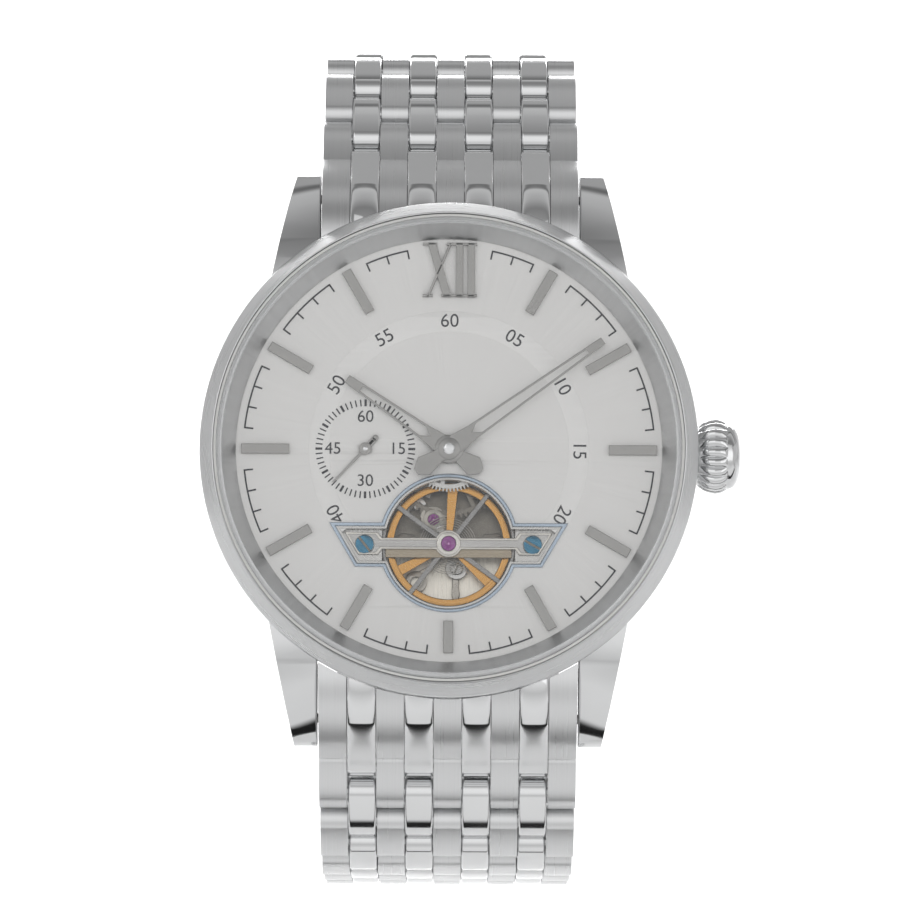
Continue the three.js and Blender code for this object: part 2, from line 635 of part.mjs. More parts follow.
function endLink(direction) {
  const noseLevel = directionOf(FIRST_PIN, [23.4, 1.9]);
  const body = acrossX(mirrored([
    [16.5, 1.9], [20, 0.9], [22.6, -0.9], [24.2, -1.2], [25.6, 2.3], [24.2, 4.5], [22.5, 6.1],
    [20.6, 7.2], [16.5, 7.6],
  ], direction), -BRACELET_HALF_WIDTH, BRACELET_HALF_WIDTH);
  const first = [FIRST_PIN[0] * direction, FIRST_PIN[1]];
  const room = acrossX(circle(LINK_RADIUS + JOINT_ROOM, first, 16), -12, 12);
  const trimmed = cut(
    body, room, disc(BEZEL_RADIUS + 0.15, -3, 12, [0, 0], 52),
    acrossX(circle(0.95, [SPRING_BAR.y * direction, SPRING_BAR.z], 10), -12, 12),
  );
  const noses = tongues(FIRST_PIN, noseLevel, 0, false, direction, false);
  return join(trimmed, noses);
}

function springBar(direction) {
  const centre = [SPRING_BAR.y * direction, SPRING_BAR.z];
  return join(
    acrossX(circle(SPRING_BAR.radius, centre, 10), -SPRING_BAR.halfLength, SPRING_BAR.halfLength),
    acrossX(circle(SPRING_BAR.pinRadius, centre, 8), -SPRING_BAR.reach, SPRING_BAR.reach),
  );
}

const chainPins = {};
for (const side of [12, 6]) {
  const { direction } = SIDES[side];
  chainPins[side] = pinsOf(SIDES[side]);
  addPart(`end_link_${side}`, endLink(direction), 'brushedSteel');
  addPart(`spring_bar_${side}`, springBar(direction), 'greySteel');
  for (let i = 0; i + 1 < SEGMENT_ENDS.length; i += 1) {
    const segment = braceletSegment(chainPins[side], SEGMENT_ENDS[i], SEGMENT_ENDS[i + 1], direction);
    addPart(`bracelet_${side}_${i + 1}`, segment, 'brushedSteel');
  }
}

// ---------------------------------------------------------------- fold-over clasp

const CLASP_START = [-chainPins[6][LINKS_PER_SIDE][0], chainPins[6][LINKS_PER_SIDE][1]];
const CLASP_END = [chainPins[12][LINKS_PER_SIDE][0], chainPins[12][LINKS_PER_SIDE][1]];
const CLASP_LEVEL = Math.min(CLASP_START[1], CLASP_END[1]);
const COVER_OUTSIDE = CLASP_LEVEL - LINK_RADIUS - 1.3;
const COVER_HALF_WIDTH = 10.6;
const BLADE_HINGE = { y: CLASP_END[0] - 4, z: COVER_OUTSIDE + 1.95 };
const FOLD_HINGE = { y: CLASP_START[0] + 4.6, z: COVER_OUTSIDE + 3.05 };

function rectangle(y1, z1, y2, z2) {
  return [[y1, z1], [y2, z1], [y2, z2], [y1, z2]];
}

function barrel(centre, radius, fromX, toX) {
  return acrossX(circle(radius, [centre.y, centre.z], 10), fromX, toX);
}

function claspCover() {
  const from = CLASP_START[0] + LINK_RADIUS + JOINT_ROOM;
  const to = CLASP_END[0] - LINK_RADIUS - JOINT_ROOM;
  const inside = COVER_HALF_WIDTH - CLASP.wall;
  const plate = acrossX(
    rectangle(from, COVER_OUTSIDE, to, COVER_OUTSIDE + CLASP.plate), -COVER_HALF_WIDTH, COVER_HALF_WIDTH,
  );
  const wallTop = CLASP_LEVEL + LINK_RADIUS - 0.2;
  const walls = [[-COVER_HALF_WIDTH, -inside], [inside, COVER_HALF_WIDTH]].map(([a, b]) => acrossX(
    rectangle(from, COVER_OUTSIDE, to, wallTop), a, b,
  ));
  const backWall = acrossX(
    rectangle(from, COVER_OUTSIDE, from + CLASP.wall, wallTop), -COVER_HALF_WIDTH, COVER_HALF_WIDTH,
  );
  const knuckles = tongues([...CLASP_START], [1, 0], LINKS_PER_SIDE, false, 1, true);
  const outside = COVER_HALF_WIDTH + 1;
  const between = acrossX(rectangle(-30, -60, 30, 0), -inside + 0.01, inside - 0.01);
  const bladeHoles = cut(barrel(BLADE_HINGE, 0.45, -outside, outside), between);
  const middle = (from + to) / 2;
  const buttonHoles = acrossX(
    rectangle(
      middle - CLASP.buttonHalfLength - 0.2, CLASP_LEVEL - 1,
      middle + CLASP.buttonHalfLength + 0.2, CLASP_LEVEL + 0.9,
    ), -outside, outside,
  );
  return cut(join(plate, ...walls, backWall, knuckles), bladeHoles, buttonHoles);
}

addPart('clasp_cover', claspCover(), 'brushedSteel');

function blade(fromY, toY, level) {
  return acrossX(
    rectangle(fromY, level, toY, level + CLASP.blade), -CLASP.bladeHalfWidth, CLASP.bladeHalfWidth,
  );
}

// The outer blade lies on the cover, hinged at its 12 o'clock end, with one knuckle in the middle.
function outerBlade() {
  const { y, z } = FOLD_HINGE;
  const level = COVER_OUTSIDE + 1.6;
  const half = CLASP.middleKnuckle;
  const hingeRod = COVER_HALF_WIDTH - 0.3;
  return cut(
    join(
      blade(y, BLADE_HINGE.y, level),
      barrel(BLADE_HINGE, 0.36, -hingeRod, hingeRod),
      barrel(FOLD_HINGE, CLASP.knuckleRadius, -half, half),
      acrossX(rectangle(y - 0.5, level + 0.1, y + 0.5, z), -half, half),
    ),
    barrel(FOLD_HINGE, CLASP.knuckleBore, -half - 1, half + 1),
  );
}

// The inner blade folds back over the outer one, with a knuckle on either side and the pin between.
function innerBlade() {
  const { y, z } = FOLD_HINGE;
  const gap = CLASP.middleKnuckle + 0.15;
  return join(
    cut(
      join(
        blade(y, CLASP_END[0] - LINK_RADIUS - JOINT_ROOM, z + 0.1),
        barrel(FOLD_HINGE, CLASP.knuckleRadius, gap, CLASP.outerKnuckle),
        barrel(FOLD_HINGE, CLASP.knuckleRadius, -CLASP.outerKnuckle, -gap),
      ),
      acrossX(rectangle(y - 1.2, z - 1, y + 0.85, z + 1.2), -gap, gap),
    ),
    barrel(FOLD_HINGE, CLASP.pin, -gap - 0.15, gap + 0.15),
  );
}

addPart('clasp_blade_outer', outerBlade(), 'polishedSteel');
addPart('clasp_blade_inner', innerBlade(), 'polishedSteel');

for (const [name, side] of [['clasp_button_left', -1], ['clasp_button_right', 1]]) {
  const middle = (CLASP_START[0] + CLASP_END[0]) / 2;
  const reach = [CLASP.buttonRoot * side, CLASP.buttonReach * side].sort((a, b) => a - b);
  const outline = rectangle(
    middle - CLASP.buttonHalfLength, CLASP_LEVEL - 0.8, middle + CLASP.buttonHalfLength, CLASP_LEVEL + 0.7,
  );
  addPart(name, acrossX(outline, ...reach), 'polishedSteel');
}

// ---------------------------------------------------------------- standing frame

watch.rotation.x = Math.PI / 2;

export default watch;
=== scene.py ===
"""Looks of the open-heart automatic wristwatch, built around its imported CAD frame.

The watch is drawn in its own millimetres: x from the dial's centre to the crown, y to 12 o'clock
and z out of the case back, through the dial, to the wearer. to_row() turns those into the row
frame's metres, where the dial faces -Y and 12 o'clock is +Z.
"""
import json
import math

import bmesh
import bpy
from mathutils import Matrix, Vector


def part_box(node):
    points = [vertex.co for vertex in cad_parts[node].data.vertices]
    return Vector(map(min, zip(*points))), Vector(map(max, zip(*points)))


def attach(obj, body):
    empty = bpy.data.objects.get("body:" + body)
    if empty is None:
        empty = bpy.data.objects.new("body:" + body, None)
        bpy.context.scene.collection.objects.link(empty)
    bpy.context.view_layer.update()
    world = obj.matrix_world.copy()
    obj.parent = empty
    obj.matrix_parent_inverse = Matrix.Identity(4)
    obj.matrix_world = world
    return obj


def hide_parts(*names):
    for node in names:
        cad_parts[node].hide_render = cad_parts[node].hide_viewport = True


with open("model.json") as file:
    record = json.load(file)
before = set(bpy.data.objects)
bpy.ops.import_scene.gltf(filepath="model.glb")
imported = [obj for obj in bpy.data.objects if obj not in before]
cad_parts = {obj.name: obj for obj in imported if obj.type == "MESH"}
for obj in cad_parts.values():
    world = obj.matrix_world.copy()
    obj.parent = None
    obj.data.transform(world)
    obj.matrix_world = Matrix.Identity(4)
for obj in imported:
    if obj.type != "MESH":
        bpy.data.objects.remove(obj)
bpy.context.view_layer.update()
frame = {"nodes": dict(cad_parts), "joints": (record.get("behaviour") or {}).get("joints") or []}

MM = 0.001
CASE = "case"
DIAL_TOP = 7.7

# Where the axes through the dial stand, as (x, y).
SMALL_SECONDS = (-7.05, 0.05)
BALANCE = (0.0, -7.9)
FOURTH = (-7.05, 0)
THIRD = (-5, 3.9)
ESCAPE = (-3.4, -3)
FORK = (-1.28, -5.66)
BARREL = (4.8, 4.5)
CROWN_WHEEL = (9.85, 0)

CROWN_Z = 4.3
COLUMNS = 9
PITCH = 6.25
LINK_RADIUS = 1.42
HINGE_LINKS = (0, 2, 6, 10, 14, 18, 21)


def to_row(x, y, z):
    return Vector((x, -z, y)) * MM


def to_watch(point):
    return point.x / MM, point.z / MM, -point.y / MM


# ------------------------------------------------------------------ camera

FIELD = 75.7 * MM
DISTANCE = 0.62
TILT = math.radians(7.5)
ROLL = math.radians(0.29)
AIM = to_row(0.08, -0.09, 8.3)


def make_camera():
    data = bpy.data.cameras.new("camera")
    data.sensor_width = 36
    data.lens = 36 * DISTANCE / FIELD
    data.clip_start = 0.01
    camera = bpy.data.objects.new("camera", data)
    bpy.context.scene.collection.objects.link(camera)
    towards = Vector((0, -math.cos(TILT), -math.sin(TILT)))
    turn = (-towards).to_track_quat("-Z", "Y").to_matrix().to_4x4()
    camera.matrix_world = Matrix.Translation(AIM + towards * DISTANCE) @ turn @ Matrix.Rotation(ROLL, 4, "Z")
    bpy.context.scene.camera = camera


make_camera()


# ------------------------------------------------------------------ materials

class Nodes:
    """A material's node tree, with the few nodes that every material here is made of."""

    def __init__(self, name, **sockets):
        self.material = bpy.data.materials.new(name)
        self.material.use_nodes = True
        self.tree = self.material.node_tree
        self.shader = self.tree.nodes["Principled BSDF"]
        for socket, value in sockets.items():
            self.shader.inputs[socket.replace("_", " ")].default_value = value

    def add(self, kind, **values):
        node = self.tree.nodes.new(kind)
        for key, value in values.items():
            setattr(node, key, value)
        return node

    def link(self, source, target):
        self.tree.links.new(source, target)

    def position(self):
        return self.add("ShaderNodeTexCoord").outputs["Object"]

    def math(self, operation, first, second=0.0):
        node = self.add("ShaderNodeMath", operation=operation)
        for socket, value in zip(node.inputs, (first, second)):
            if isinstance(value, (int, float)):
                socket.default_value = value
            else:
                self.link(value, socket)
        return node.outputs[0]

    def stretched(self, scale):
        mapping = self.add("ShaderNodeMapping")
        self.link(self.position(), mapping.inputs["Vector"])
        mapping.inputs["Scale"].default_value = scale
        return mapping.outputs[0]

    def polar(self, centre, ring_scale, ray_scale):
        """Rings and rays about an axis through the dial: a radius and an angle as coordinates."""
        parts = self.add("ShaderNodeSeparateXYZ")
        self.link(self.position(), parts.inputs[0])
        x = self.math("SUBTRACT", parts.outputs["X"], centre[0] * MM)
        z = self.math("SUBTRACT", parts.outputs["Z"], centre[1] * MM)
        radius = self.math("SQRT", self.math("ADD", self.math("MULTIPLY", x, x), self.math("MULTIPLY", z, z)))
        angle = self.math("ARCTAN2", z, x)
        joined = self.add("ShaderNodeCombineXYZ")
        self.link(self.math("MULTIPLY", radius, ring_scale), joined.inputs["X"])
        self.link(self.math("MULTIPLY", angle, ray_scale), joined.inputs["Y"])
        return joined.outputs[0]

    def noise(self, vector, scale=1.0, detail=3.0):
        node = self.add("ShaderNodeTexNoise")
        node.inputs["Scale"].default_value = scale
        node.inputs["Detail"].default_value = detail
        self.link(vector, node.inputs["Vector"])
        return node.outputs["Fac"]

    def between(self, value, low, high):
        node = self.add("ShaderNodeMapRange")
        node.inputs["From Min"].default_value = 0.3
        node.inputs["From Max"].default_value = 0.7
        node.inputs["To Min"].default_value = low
        node.inputs["To Max"].default_value = high
        self.link(value, node.inputs["Value"])
        return node.outputs[0]

    def tint(self, value, dark, light):
        ramp = self.add("ShaderNodeValToRGB")
        ramp.color_ramp.elements[0].position = 0.3
        ramp.color_ramp.elements[1].position = 0.7
        ramp.color_ramp.elements[0].color = (*dark, 1)
        ramp.color_ramp.elements[1].color = (*light, 1)
        self.link(value, ramp.inputs["Fac"])
        self.link(ramp.outputs["Color"], self.shader.inputs["Base Color"])

    def bump(self, height, strength, distance):
        node = self.add("ShaderNodeBump")
        node.inputs["Strength"].default_value = strength
        node.inputs["Distance"].default_value = distance
        self.link(height, node.inputs["Height"])
        self.link(node.outputs["Normal"], self.shader.inputs["Normal"])


def shade(colour, factor):
    return tuple(min(1.0, channel * factor) for channel in colour)


def grained_metal(name, colour, roughness, vector_of, spread=0.08, contrast=0.07, depth=0.25, metallic=1.0):
    """Metal with a directional grain: the same noise moves its tone, its roughness and its height."""
    nodes = Nodes(name, Metallic=metallic, Roughness=roughness)
    grain = nodes.noise(vector_of(nodes), detail=4)
    nodes.tint(grain, shade(colour, 1 - contrast), shade(colour, 1 + contrast))
    nodes.link(nodes.between(grain, roughness - spread, roughness + spread), nodes.shader.inputs["Roughness"])
    nodes.bump(grain, depth, 0.00002)
    return nodes.material


def along(scale):
    return lambda nodes: nodes.stretched(scale)


def about(centre, rings, rays):
    return lambda nodes: nodes.polar(centre, rings, rays)


STEEL = (0.72, 0.725, 0.73)
WARM_STEEL = (0.72, 0.71, 0.69)
GILT = (0.6, 0.32, 0.09)

# Each metal's colour, roughness and grain, then how far the grain moves roughness, tone and height.
METALS = {
    "link_brushed": (STEEL, 0.3, along((12000, 60, 60)), 0.03, 0.02, 0.05),
    "link_polished": (shade(STEEL, 1.06), 0.09, along((160, 160, 160)), 0.02, 0.02, 0.02),
    "case_brushed": (shade(STEEL, 0.93), 0.3, along((120, 9000, 120))),
    "polished": (STEEL, 0.07, along((200, 200, 200)), 0.02, 0.02, 0.02),
    "bezel": (shade(STEEL, 0.98), 0.3, about((0, 0), 12000, 1.5), 0.05, 0.03, 0.1),
    "rehaut": (shade(STEEL, 0.86), 0.32, about((0, 0), 60, 40), 0.03, 0.05, 0.03),
    "hand": ((0.33, 0.325, 0.315), 0.36, along((2500, 90, 2500)), 0.05, 0.05, 0.06),
    "marker": ((0.33, 0.325, 0.315), 0.3, along((120, 120, 120)), 0.04, 0.05, 0.01),
    "frame_steel": ((0.38, 0.45, 0.53), 0.22, along((400, 400, 400)), 0.03, 0.03, 0.03),
    "bridge": (shade(WARM_STEEL, 0.62), 0.26, along((200, 200, 5000)), 0.05, 0.06, 0.08),
    "plate": (shade(WARM_STEEL, 0.92), 0.36, along((600, 600, 9000)), 0.08, 0.16),
    "dark_plate": ((0.36, 0.34, 0.31), 0.36, along((3000, 300, 3000)), 0.07, 0.12),
    "rail": ((0.62, 0.6, 0.56), 0.16, along((300, 300, 300)), 0.03, 0.03, 0.03),
    "bronze": ((0.34, 0.29, 0.22), 0.3, along((200, 200, 6000)), 0.06, 0.1),
    # shadow_steel is painted shade: a near-black steel for screw slot floors and for parts seen deep in the
    # heart.
    "shadow_steel": ((0.2, 0.185, 0.16), 0.36, along((2500, 300, 2500)), 0.06, 0.12),
    "cock_steel": ((0.4, 0.375, 0.335), 0.32, along((2500, 300, 2500)), 0.06, 0.1),
    "silver_plate": ((0.78, 0.74, 0.66), 0.34, along((5000, 300, 250)), 0.08, 0.16),
    "turned": (shade(WARM_STEEL, 0.75), 0.28, about((0, 0), 14000, 1), 0.07, 0.08),
    "spider": ((0.27, 0.265, 0.26), 0.3, along((4000, 400, 4000)), 0.05, 0.06),
    "gilt": (GILT, 0.26, about(BALANCE, 14000, 1), 0.05, 0.07),
    "brass": ((0.80, 0.60, 0.30), 0.3, along((3000, 300, 3000)), 0.06, 0.08),
    "blued": ((0.04, 0.17, 0.27), 0.2, along((900, 900, 900)), 0.03, 0.2),
    "rotor": (shade(WARM_STEEL, 1.05), 0.28, about((0, 0), 9000, 1), 0.06, 0.07),
}
LOOK = {name: grained_metal(name, *values) for name, values in METALS.items()}


def make_dial_material():
    """Silver sunburst: rays that leave the centre, seen as faint changes of tone and of gloss."""
    nodes = Nodes("dial_sunburst", Metallic=0.3, Roughness=0.42)
    rays = nodes.noise(nodes.polar((0, 0), 30, 60), detail=5)
    nodes.tint(rays, (0.74, 0.732, 0.72), (0.78, 0.772, 0.76))
    nodes.link(nodes.between(rays, 0.38, 0.48), nodes.shader.inputs["Roughness"])
    nodes.bump(rays, 0.06, 0.00001)
    return nodes.material


def make_plain(name, colour, roughness, contrast, scale, **sockets):
    nodes = Nodes(name, Roughness=roughness, **sockets)
    cloud = nodes.noise(nodes.stretched((scale, scale, scale)))
    nodes.tint(cloud, shade(colour, 1 - contrast), shade(colour, 1 + contrast))
    nodes.bump(cloud, 0.1, 0.00001)
    return nodes.material


LOOK["dial"] = make_dial_material()
LOOK["ring"] = make_plain("dial_ring", (0.82, 0.812, 0.80), 0.5, 0.01, 2500, Metallic=0.1)
LOOK["print"] = make_plain("dial_print", (0.022, 0.022, 0.03), 0.55, 0.1, 4000)
LOOK["ruby"] = make_plain("ruby", (0.26, 0.035, 0.26), 0.08, 0.12, 1500, Coat_Weight=0.5)
LOOK["ruby_oil"] = make_plain("ruby_oil", (0.72, 0.35, 0.7), 0.1, 0.1, 1500)
LOOK["gasket"] = make_plain("gasket", (0.78, 0.78, 0.76), 0.5, 0.03, 900)
LOOK["spacer"] = make_plain("spacer", (0.62, 0.61, 0.59), 0.5, 0.04, 900)
LOOK["glass"] = make_plain("sapphire", (0.95, 0.97, 0.98), 0.02, 0.01, 300, Alpha=0.045, IOR=1.76)
LOOK["glass_edge"] = make_plain("sapphire_edge", (0.93, 0.94, 0.95), 0.12, 0.02, 300, Alpha=0.42, IOR=1.76)


# ------------------------------------------------------------------ meshes

SHARP = math.radians(32)


def finish_mesh(mesh):
    for polygon in mesh.polygons:
        polygon.use_smooth = True
    mesh.set_sharp_from_angle(angle=SHARP)


def add_piece(name, mesh, look, body, nodes=()):
    """Shows a mesh whose points are in the row frame, on a body, in place of the CAD nodes named."""
    finish_mesh(mesh)
    piece = shown(name, mesh)
    mesh.materials.append(LOOK[look])
    even = piece.modifiers.new("even_shading", "WEIGHTED_NORMAL")
    even.keep_sharp = True
    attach(piece, body)
    if nodes:
        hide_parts(*nodes)
    return piece


def closed_up(mesh):
    """The mesh with its doubled points joined and its faces turned outwards."""
    working = bmesh.new()
    working.from_mesh(mesh)
    bmesh.ops.remove_doubles(working, verts=working.verts, dist=1e-7)
    bmesh.ops.recalc_face_normals(working, faces=working.faces)
    working.to_mesh(mesh)
    working.free()
    return mesh


def mesh_from(name, points, faces):
    mesh = bpy.data.meshes.new(name)
    mesh.from_pydata(points, [], faces)
    return closed_up(mesh)


def tube_faces(rings, count):
    """The faces between rings of points, each ring a closed loop of count points."""
    faces = []
    for here, there in rings:
        for k in range(count):
            after = (k + 1) % count
            faces.append((here + k, there + k, there + after, here + after))
    return faces


def shown(name, data):
    """A new object in the scene."""
    thing = bpy.data.objects.new(name, data)
    bpy.context.scene.collection.objects.link(thing)
    return thing


def mesh_of(thing, helpers=()):
    """The mesh an object ends up with, after which it and its helpers are removed."""
    bpy.context.view_layer.update()
    graph = bpy.context.evaluated_depsgraph_get()
    mesh = bpy.data.meshes.new_from_object(thing.evaluated_get(graph))
    for item in [thing, *helpers]:
        bpy.data.objects.remove(item)
    return mesh


def merged(name, meshes):
    """Several meshes as one."""
    working = bmesh.new()
    for mesh in meshes:
        working.from_mesh(mesh)
        bpy.data.meshes.remove(mesh)
    mesh = bpy.data.meshes.new(name)
    working.to_mesh(mesh)
    working.free()
    return mesh


def turned(profile, centre=(0, 0), segments=160, place=None):
    """A closed profile of (radius, height) corners turned about an axis through the dial."""
    def upright(r, angle, z):
        return to_row(centre[0] + r * math.cos(angle), centre[1] + r * math.sin(angle), z)

    place = place or upright
    count = len(profile)
    points = []
    for i in range(segments):
        angle = 2 * math.pi * i / segments
        points += [place(r, angle, z) for r, z in profile]
    rings = [(i * count, ((i + 1) % segments) * count) for i in range(segments)]
    return mesh_from("turned", points, tube_faces(rings, count))


def extruded(loops, low, high, bevel=0.0, place=to_row, steps=2):
    """Flat outlines (the later ones are holes) between two heights, with eased edges.

    place() turns the outline's two coordinates and the height into a point of the row frame.
    """
    data = bpy.data.curves.new("outline", "CURVE")
    data.dimensions = "2D"
    data.fill_mode = "BOTH"
    data.extrude = (high - low) / 2 - bevel
    data.bevel_depth = bevel
    data.bevel_resolution = steps
    data.offset = -bevel
    for loop in loops:
        spline = data.splines.new("POLY")
        spline.points.add(len(loop) - 1)
        for point, (u, v) in zip(spline.points, loop):
            point.co = (u, v, 0, 1)
        spline.use_cyclic_u = True
    mesh = mesh_of(shown("outline", data))
    middle = (low + high) / 2
    for vertex in mesh.vertices:
        u, v, w = vertex.co
        vertex.co = place(u, v, w + middle)
    return closed_up(mesh)


def arc(radius, start, end, centre=(0, 0), steps=48):
    """Points of an arc, counter-clockwise angles in degrees from the crown's side."""
    points = []
    for i in range(steps + 1):
        angle = math.radians(start + (end - start) * i / steps)
        points.append((centre[0] + radius * math.cos(angle), centre[1] + radius * math.sin(angle)))
    return points


def circle(radius, centre=(0, 0), steps=96):
    return arc(radius, 0, 360 - 360 / steps, centre, steps - 1)


def clock(radius, degrees, centre=(0, 0)):
    """A point at a clockwise angle from 12 o'clock."""
    angle = math.radians(90 - degrees)
    return centre[0] + radius * math.cos(angle), centre[1] + radius * math.sin(angle)


def strip(start, end, width, end_width=None):
    """The outline of a straight bar between two points."""
    end_width = width if end_width is None else end_width
    length = math.dist(start, end)
    side = (-(end[1] - start[1]) / length / 2, (end[0] - start[0]) / length / 2)
    return [
        (start[0] - side[0] * width, start[1] - side[1] * width),
        (end[0] - side[0] * end_width, end[1] - side[1] * end_width),
        (end[0] + side[0] * end_width, end[1] + side[1] * end_width),
        (start[0] + side[0] * width, start[1] + side[1] * width),
    ]


def gear(radius, teeth, depth, centre=(0, 0)):
    """A gear's outline: narrowing teeth with flat tips."""
    points = []
    step, root = 360 / teeth, radius - depth
    tooth = ((0.0, root), (0.28, root), (0.42, radius), (0.72, radius), (0.86, root))
    for i in range(teeth):
        points += [clock(r, step * (i + share), centre) for share, r in tooth]
    return points


def cut_away(mesh, tools):
    """A mesh less the tool meshes, by exact booleans."""
    body = shown("cut", mesh)
    helpers = []
    for tool in tools:
        helper = shown("tool", tool)
        modifier = body.modifiers.new("cut", "BOOLEAN")
        modifier.operation = "DIFFERENCE"
        modifier.solver = "EXACT"
        modifier.object = helper
        helpers.append(helper)
    return mesh_of(body, helpers)


def smooth(points, steps=5):
    """The points joined by a smooth curve through all of them."""
    curve = []
    last = len(points) - 1
    for i in range(last):
        before, start, end, after = (Vector(points[min(max(k, 0), last)]) for k in range(i - 1, i + 3))
        for step in range(steps):
            t = step / steps
            curve.append(tuple(0.5 * (
                2 * start + (end - before) * t + (2 * before - 5 * start + 4 * end - after) * t ** 2
                + (3 * start - before - 3 * end + after) * t ** 3
            )))
    return curve + [tuple(points[-1])]


def crowned(profile, from_x, to_x, crown, direction=1, slices=13):
    """A profile in the (y, z) plane run across the watch, its height falling off towards both sides.

    The fall grows towards the sides as on the outside of a rounded bar, and only the points above
    the profile's own middle height take part in full.
    """
    heights = [z for _, z in profile]
    floor_z, span = min(heights), max(heights) - min(heights)
    points = []
    count = len(profile)
    for i in range(slices):
        share = -math.cos(math.pi * i / (slices - 1))
        x = (from_x + to_x) / 2 + share * (to_x - from_x) / 2
        fall = crown * (1 - math.sqrt(max(0.0, 1 - 0.94 * share * share)))
        for y, z in profile:
            rise = min(1.0, 1.6 * (z - floor_z) / span)
            points.append(to_row(x, y * direction, z - fall * rise))
    faces = tube_faces([(i * count, (i + 1) * count) for i in range(slices - 1)], count)
    faces.append(tuple(range(count)))
    faces.append(tuple((slices - 1) * count + k for k in range(count))[::-1])
    return mesh_from("crowned", points, faces)


def across(y_z_loop, from_x, to_x, bevel=0.0, steps=2):
    """An outline in the (y, z) plane run across the watch."""
    return extruded([y_z_loop], from_x, to_x, bevel, lambda y, z, x: to_row(x, y, z), steps)


# ------------------------------------------------------------------ case

def make_case():
    band = turned([
        (17.4, 1.8), (19.9, 1.8), (20.3, 2.0), (20.55, 2.5), (20.6, 3.2), (20.6, 7.2), (20.5, 7.6),
        (20.3, 7.9), (18.5, 7.9), (18.5, 7.2), (17.4, 7.2),
    ], segments=220)
    add_piece("case_band", band, "case_brushed", CASE, ["case_middle"])
    inner_disc = [(0.0, -3), (19.85, -3), (19.85, 9), (0.0, 9)]
    under = smooth([
        (13.5, 2.0), (16.5, 1.7), (18.5, 1.2), (20.4, 0.55), (22.0, 0.0), (23.2, -0.3), (23.9, -0.2),
    ])
    tip = smooth([(24.25, 0.1), (24.45, 0.7), (24.45, 1.4), (24.3, 2.1)])
    top = smooth([(24.2, 2.35), (23.4, 3.35), (22.3, 4.4), (21.0, 5.4), (19.5, 6.35), (17.95, 7.15)])
    shoulder = [(17.6, 7.28), (16.4, 7.62), (15.0, 7.8), (13.5, 7.85)]
    profile = under + tip + top + shoulder
    flank = [(15.6, 12), (14.95, 15.2), (14.35, 18.2), (13.7, 21.3), (12.95, 24.6), (12.7, 26)]
    plan = flank + [(20, 26), (20, 12)]
    for side_x in (1, -1):
        for side_y in (1, -1):
            outline = [(y * side_y, z) for y, z in profile]
            start, end = (11.0, 16.0) if side_x > 0 else (-16.0, -11.0)
            block = across(outline, start, end, 0.12)
            waste = extruded([[(x * side_x, y * side_y) for x, y in plan]], -2, 10)
            lug = cut_away(block, [waste, turned(inner_disc, segments=120)])
            name = f"lug_{'right' if side_x > 0 else 'left'}_{'top' if side_y > 0 else 'bottom'}"
            piece = add_piece(name, lug, "polished", CASE)
            ease_edges(piece, 0.12)


def ease_edges(piece, width, angle=35):
    """Rounds a piece's sharp edges in its own mesh."""
    modifier = piece.modifiers.new("edges", "BEVEL")
    modifier.width = width * MM
    modifier.segments = 3
    modifier.limit_method = "ANGLE"
    modifier.angle_limit = math.radians(angle)
    modifier.harden_normals = False


def make_bezel_and_glass():
    bezel = [
        (19.5, 8.0), (20.85, 8.0), (21.0, 8.12), (21.0, 8.32), (20.9, 8.5), (20.0, 9.88), (19.93, 9.94),
        (19.86, 9.92), (19.84, 9.2), (19.5, 9.2),
    ]
    add_piece("bezel_ring", turned(bezel, segments=256), "bezel", CASE, ["bezel"])
    glass = [(0.0, 9.4), (19.1, 9.4), (19.1, 10.42), (14, 10.68), (7, 10.85), (0.0, 10.9)]
    add_piece("crystal_glass", turned(glass, segments=160), "glass", CASE, ["crystal"])
    edge = [
        (19.12, 9.42), (19.45, 9.45), (19.52, 9.6), (19.52, 9.98), (19.5, 10.06), (19.16, 10.42),
        (19.12, 10.42),
    ]
    add_piece("crystal_bevel", turned(edge, segments=200), "glass_edge", CASE)
    seal = [(19.58, 9.3), (19.78, 9.3), (19.78, 9.85), (19.7, 9.9), (19.58, 9.85)]
    add_piece("crystal_seal", turned(seal, segments=160), "gasket", CASE, ["crystal_gasket"])
    rehaut = [
        (17.95, 7.78), (18.38, 7.78), (18.4, 8.1), (19.35, 8.4), (19.35, 9.28), (19.3, 9.33), (19.12, 9.3),
        (18.0, 7.9),
    ]
    add_piece("rehaut", turned(rehaut, segments=256), "rehaut", CASE, ["rehaut_ring"])


def make_case_back():
    ring = [
        (14.98, 0.25), (15.08, 0.15), (19.1, 0.15), (19.45, 0.35), (19.6, 0.7), (19.6, 1.7), (13.8, 1.7),
        (13.8, 1.3), (14.98, 1.3),
    ]
    notch_tools = []
    for i in range(6):
        notch = strip(clock(18.4, 60 * i), clock(20.2, 60 * i), 2.2)
        notch_tools.append(extruded([notch], -0.5, 0.75))
    add_piece("back_ring", cut_away(turned(ring, segments=192), notch_tools), "polished", CASE, ["case_back"])
    window = [(0.0, 0.0), (14.35, 0.0), (14.6, 0.2), (14.6, 1.2), (0.0, 1.2)]
    add_piece("back_window", turned(window, segments=128), "glass", CASE, ["case_back_crystal"])


# ------------------------------------------------------------------ dial

WING = {"top": -6.2, "bottom": -9.95, "top_x": 10.05, "bottom_x": 7.86}
HEART, FRAME_WIDTH = 5.45, 0.42


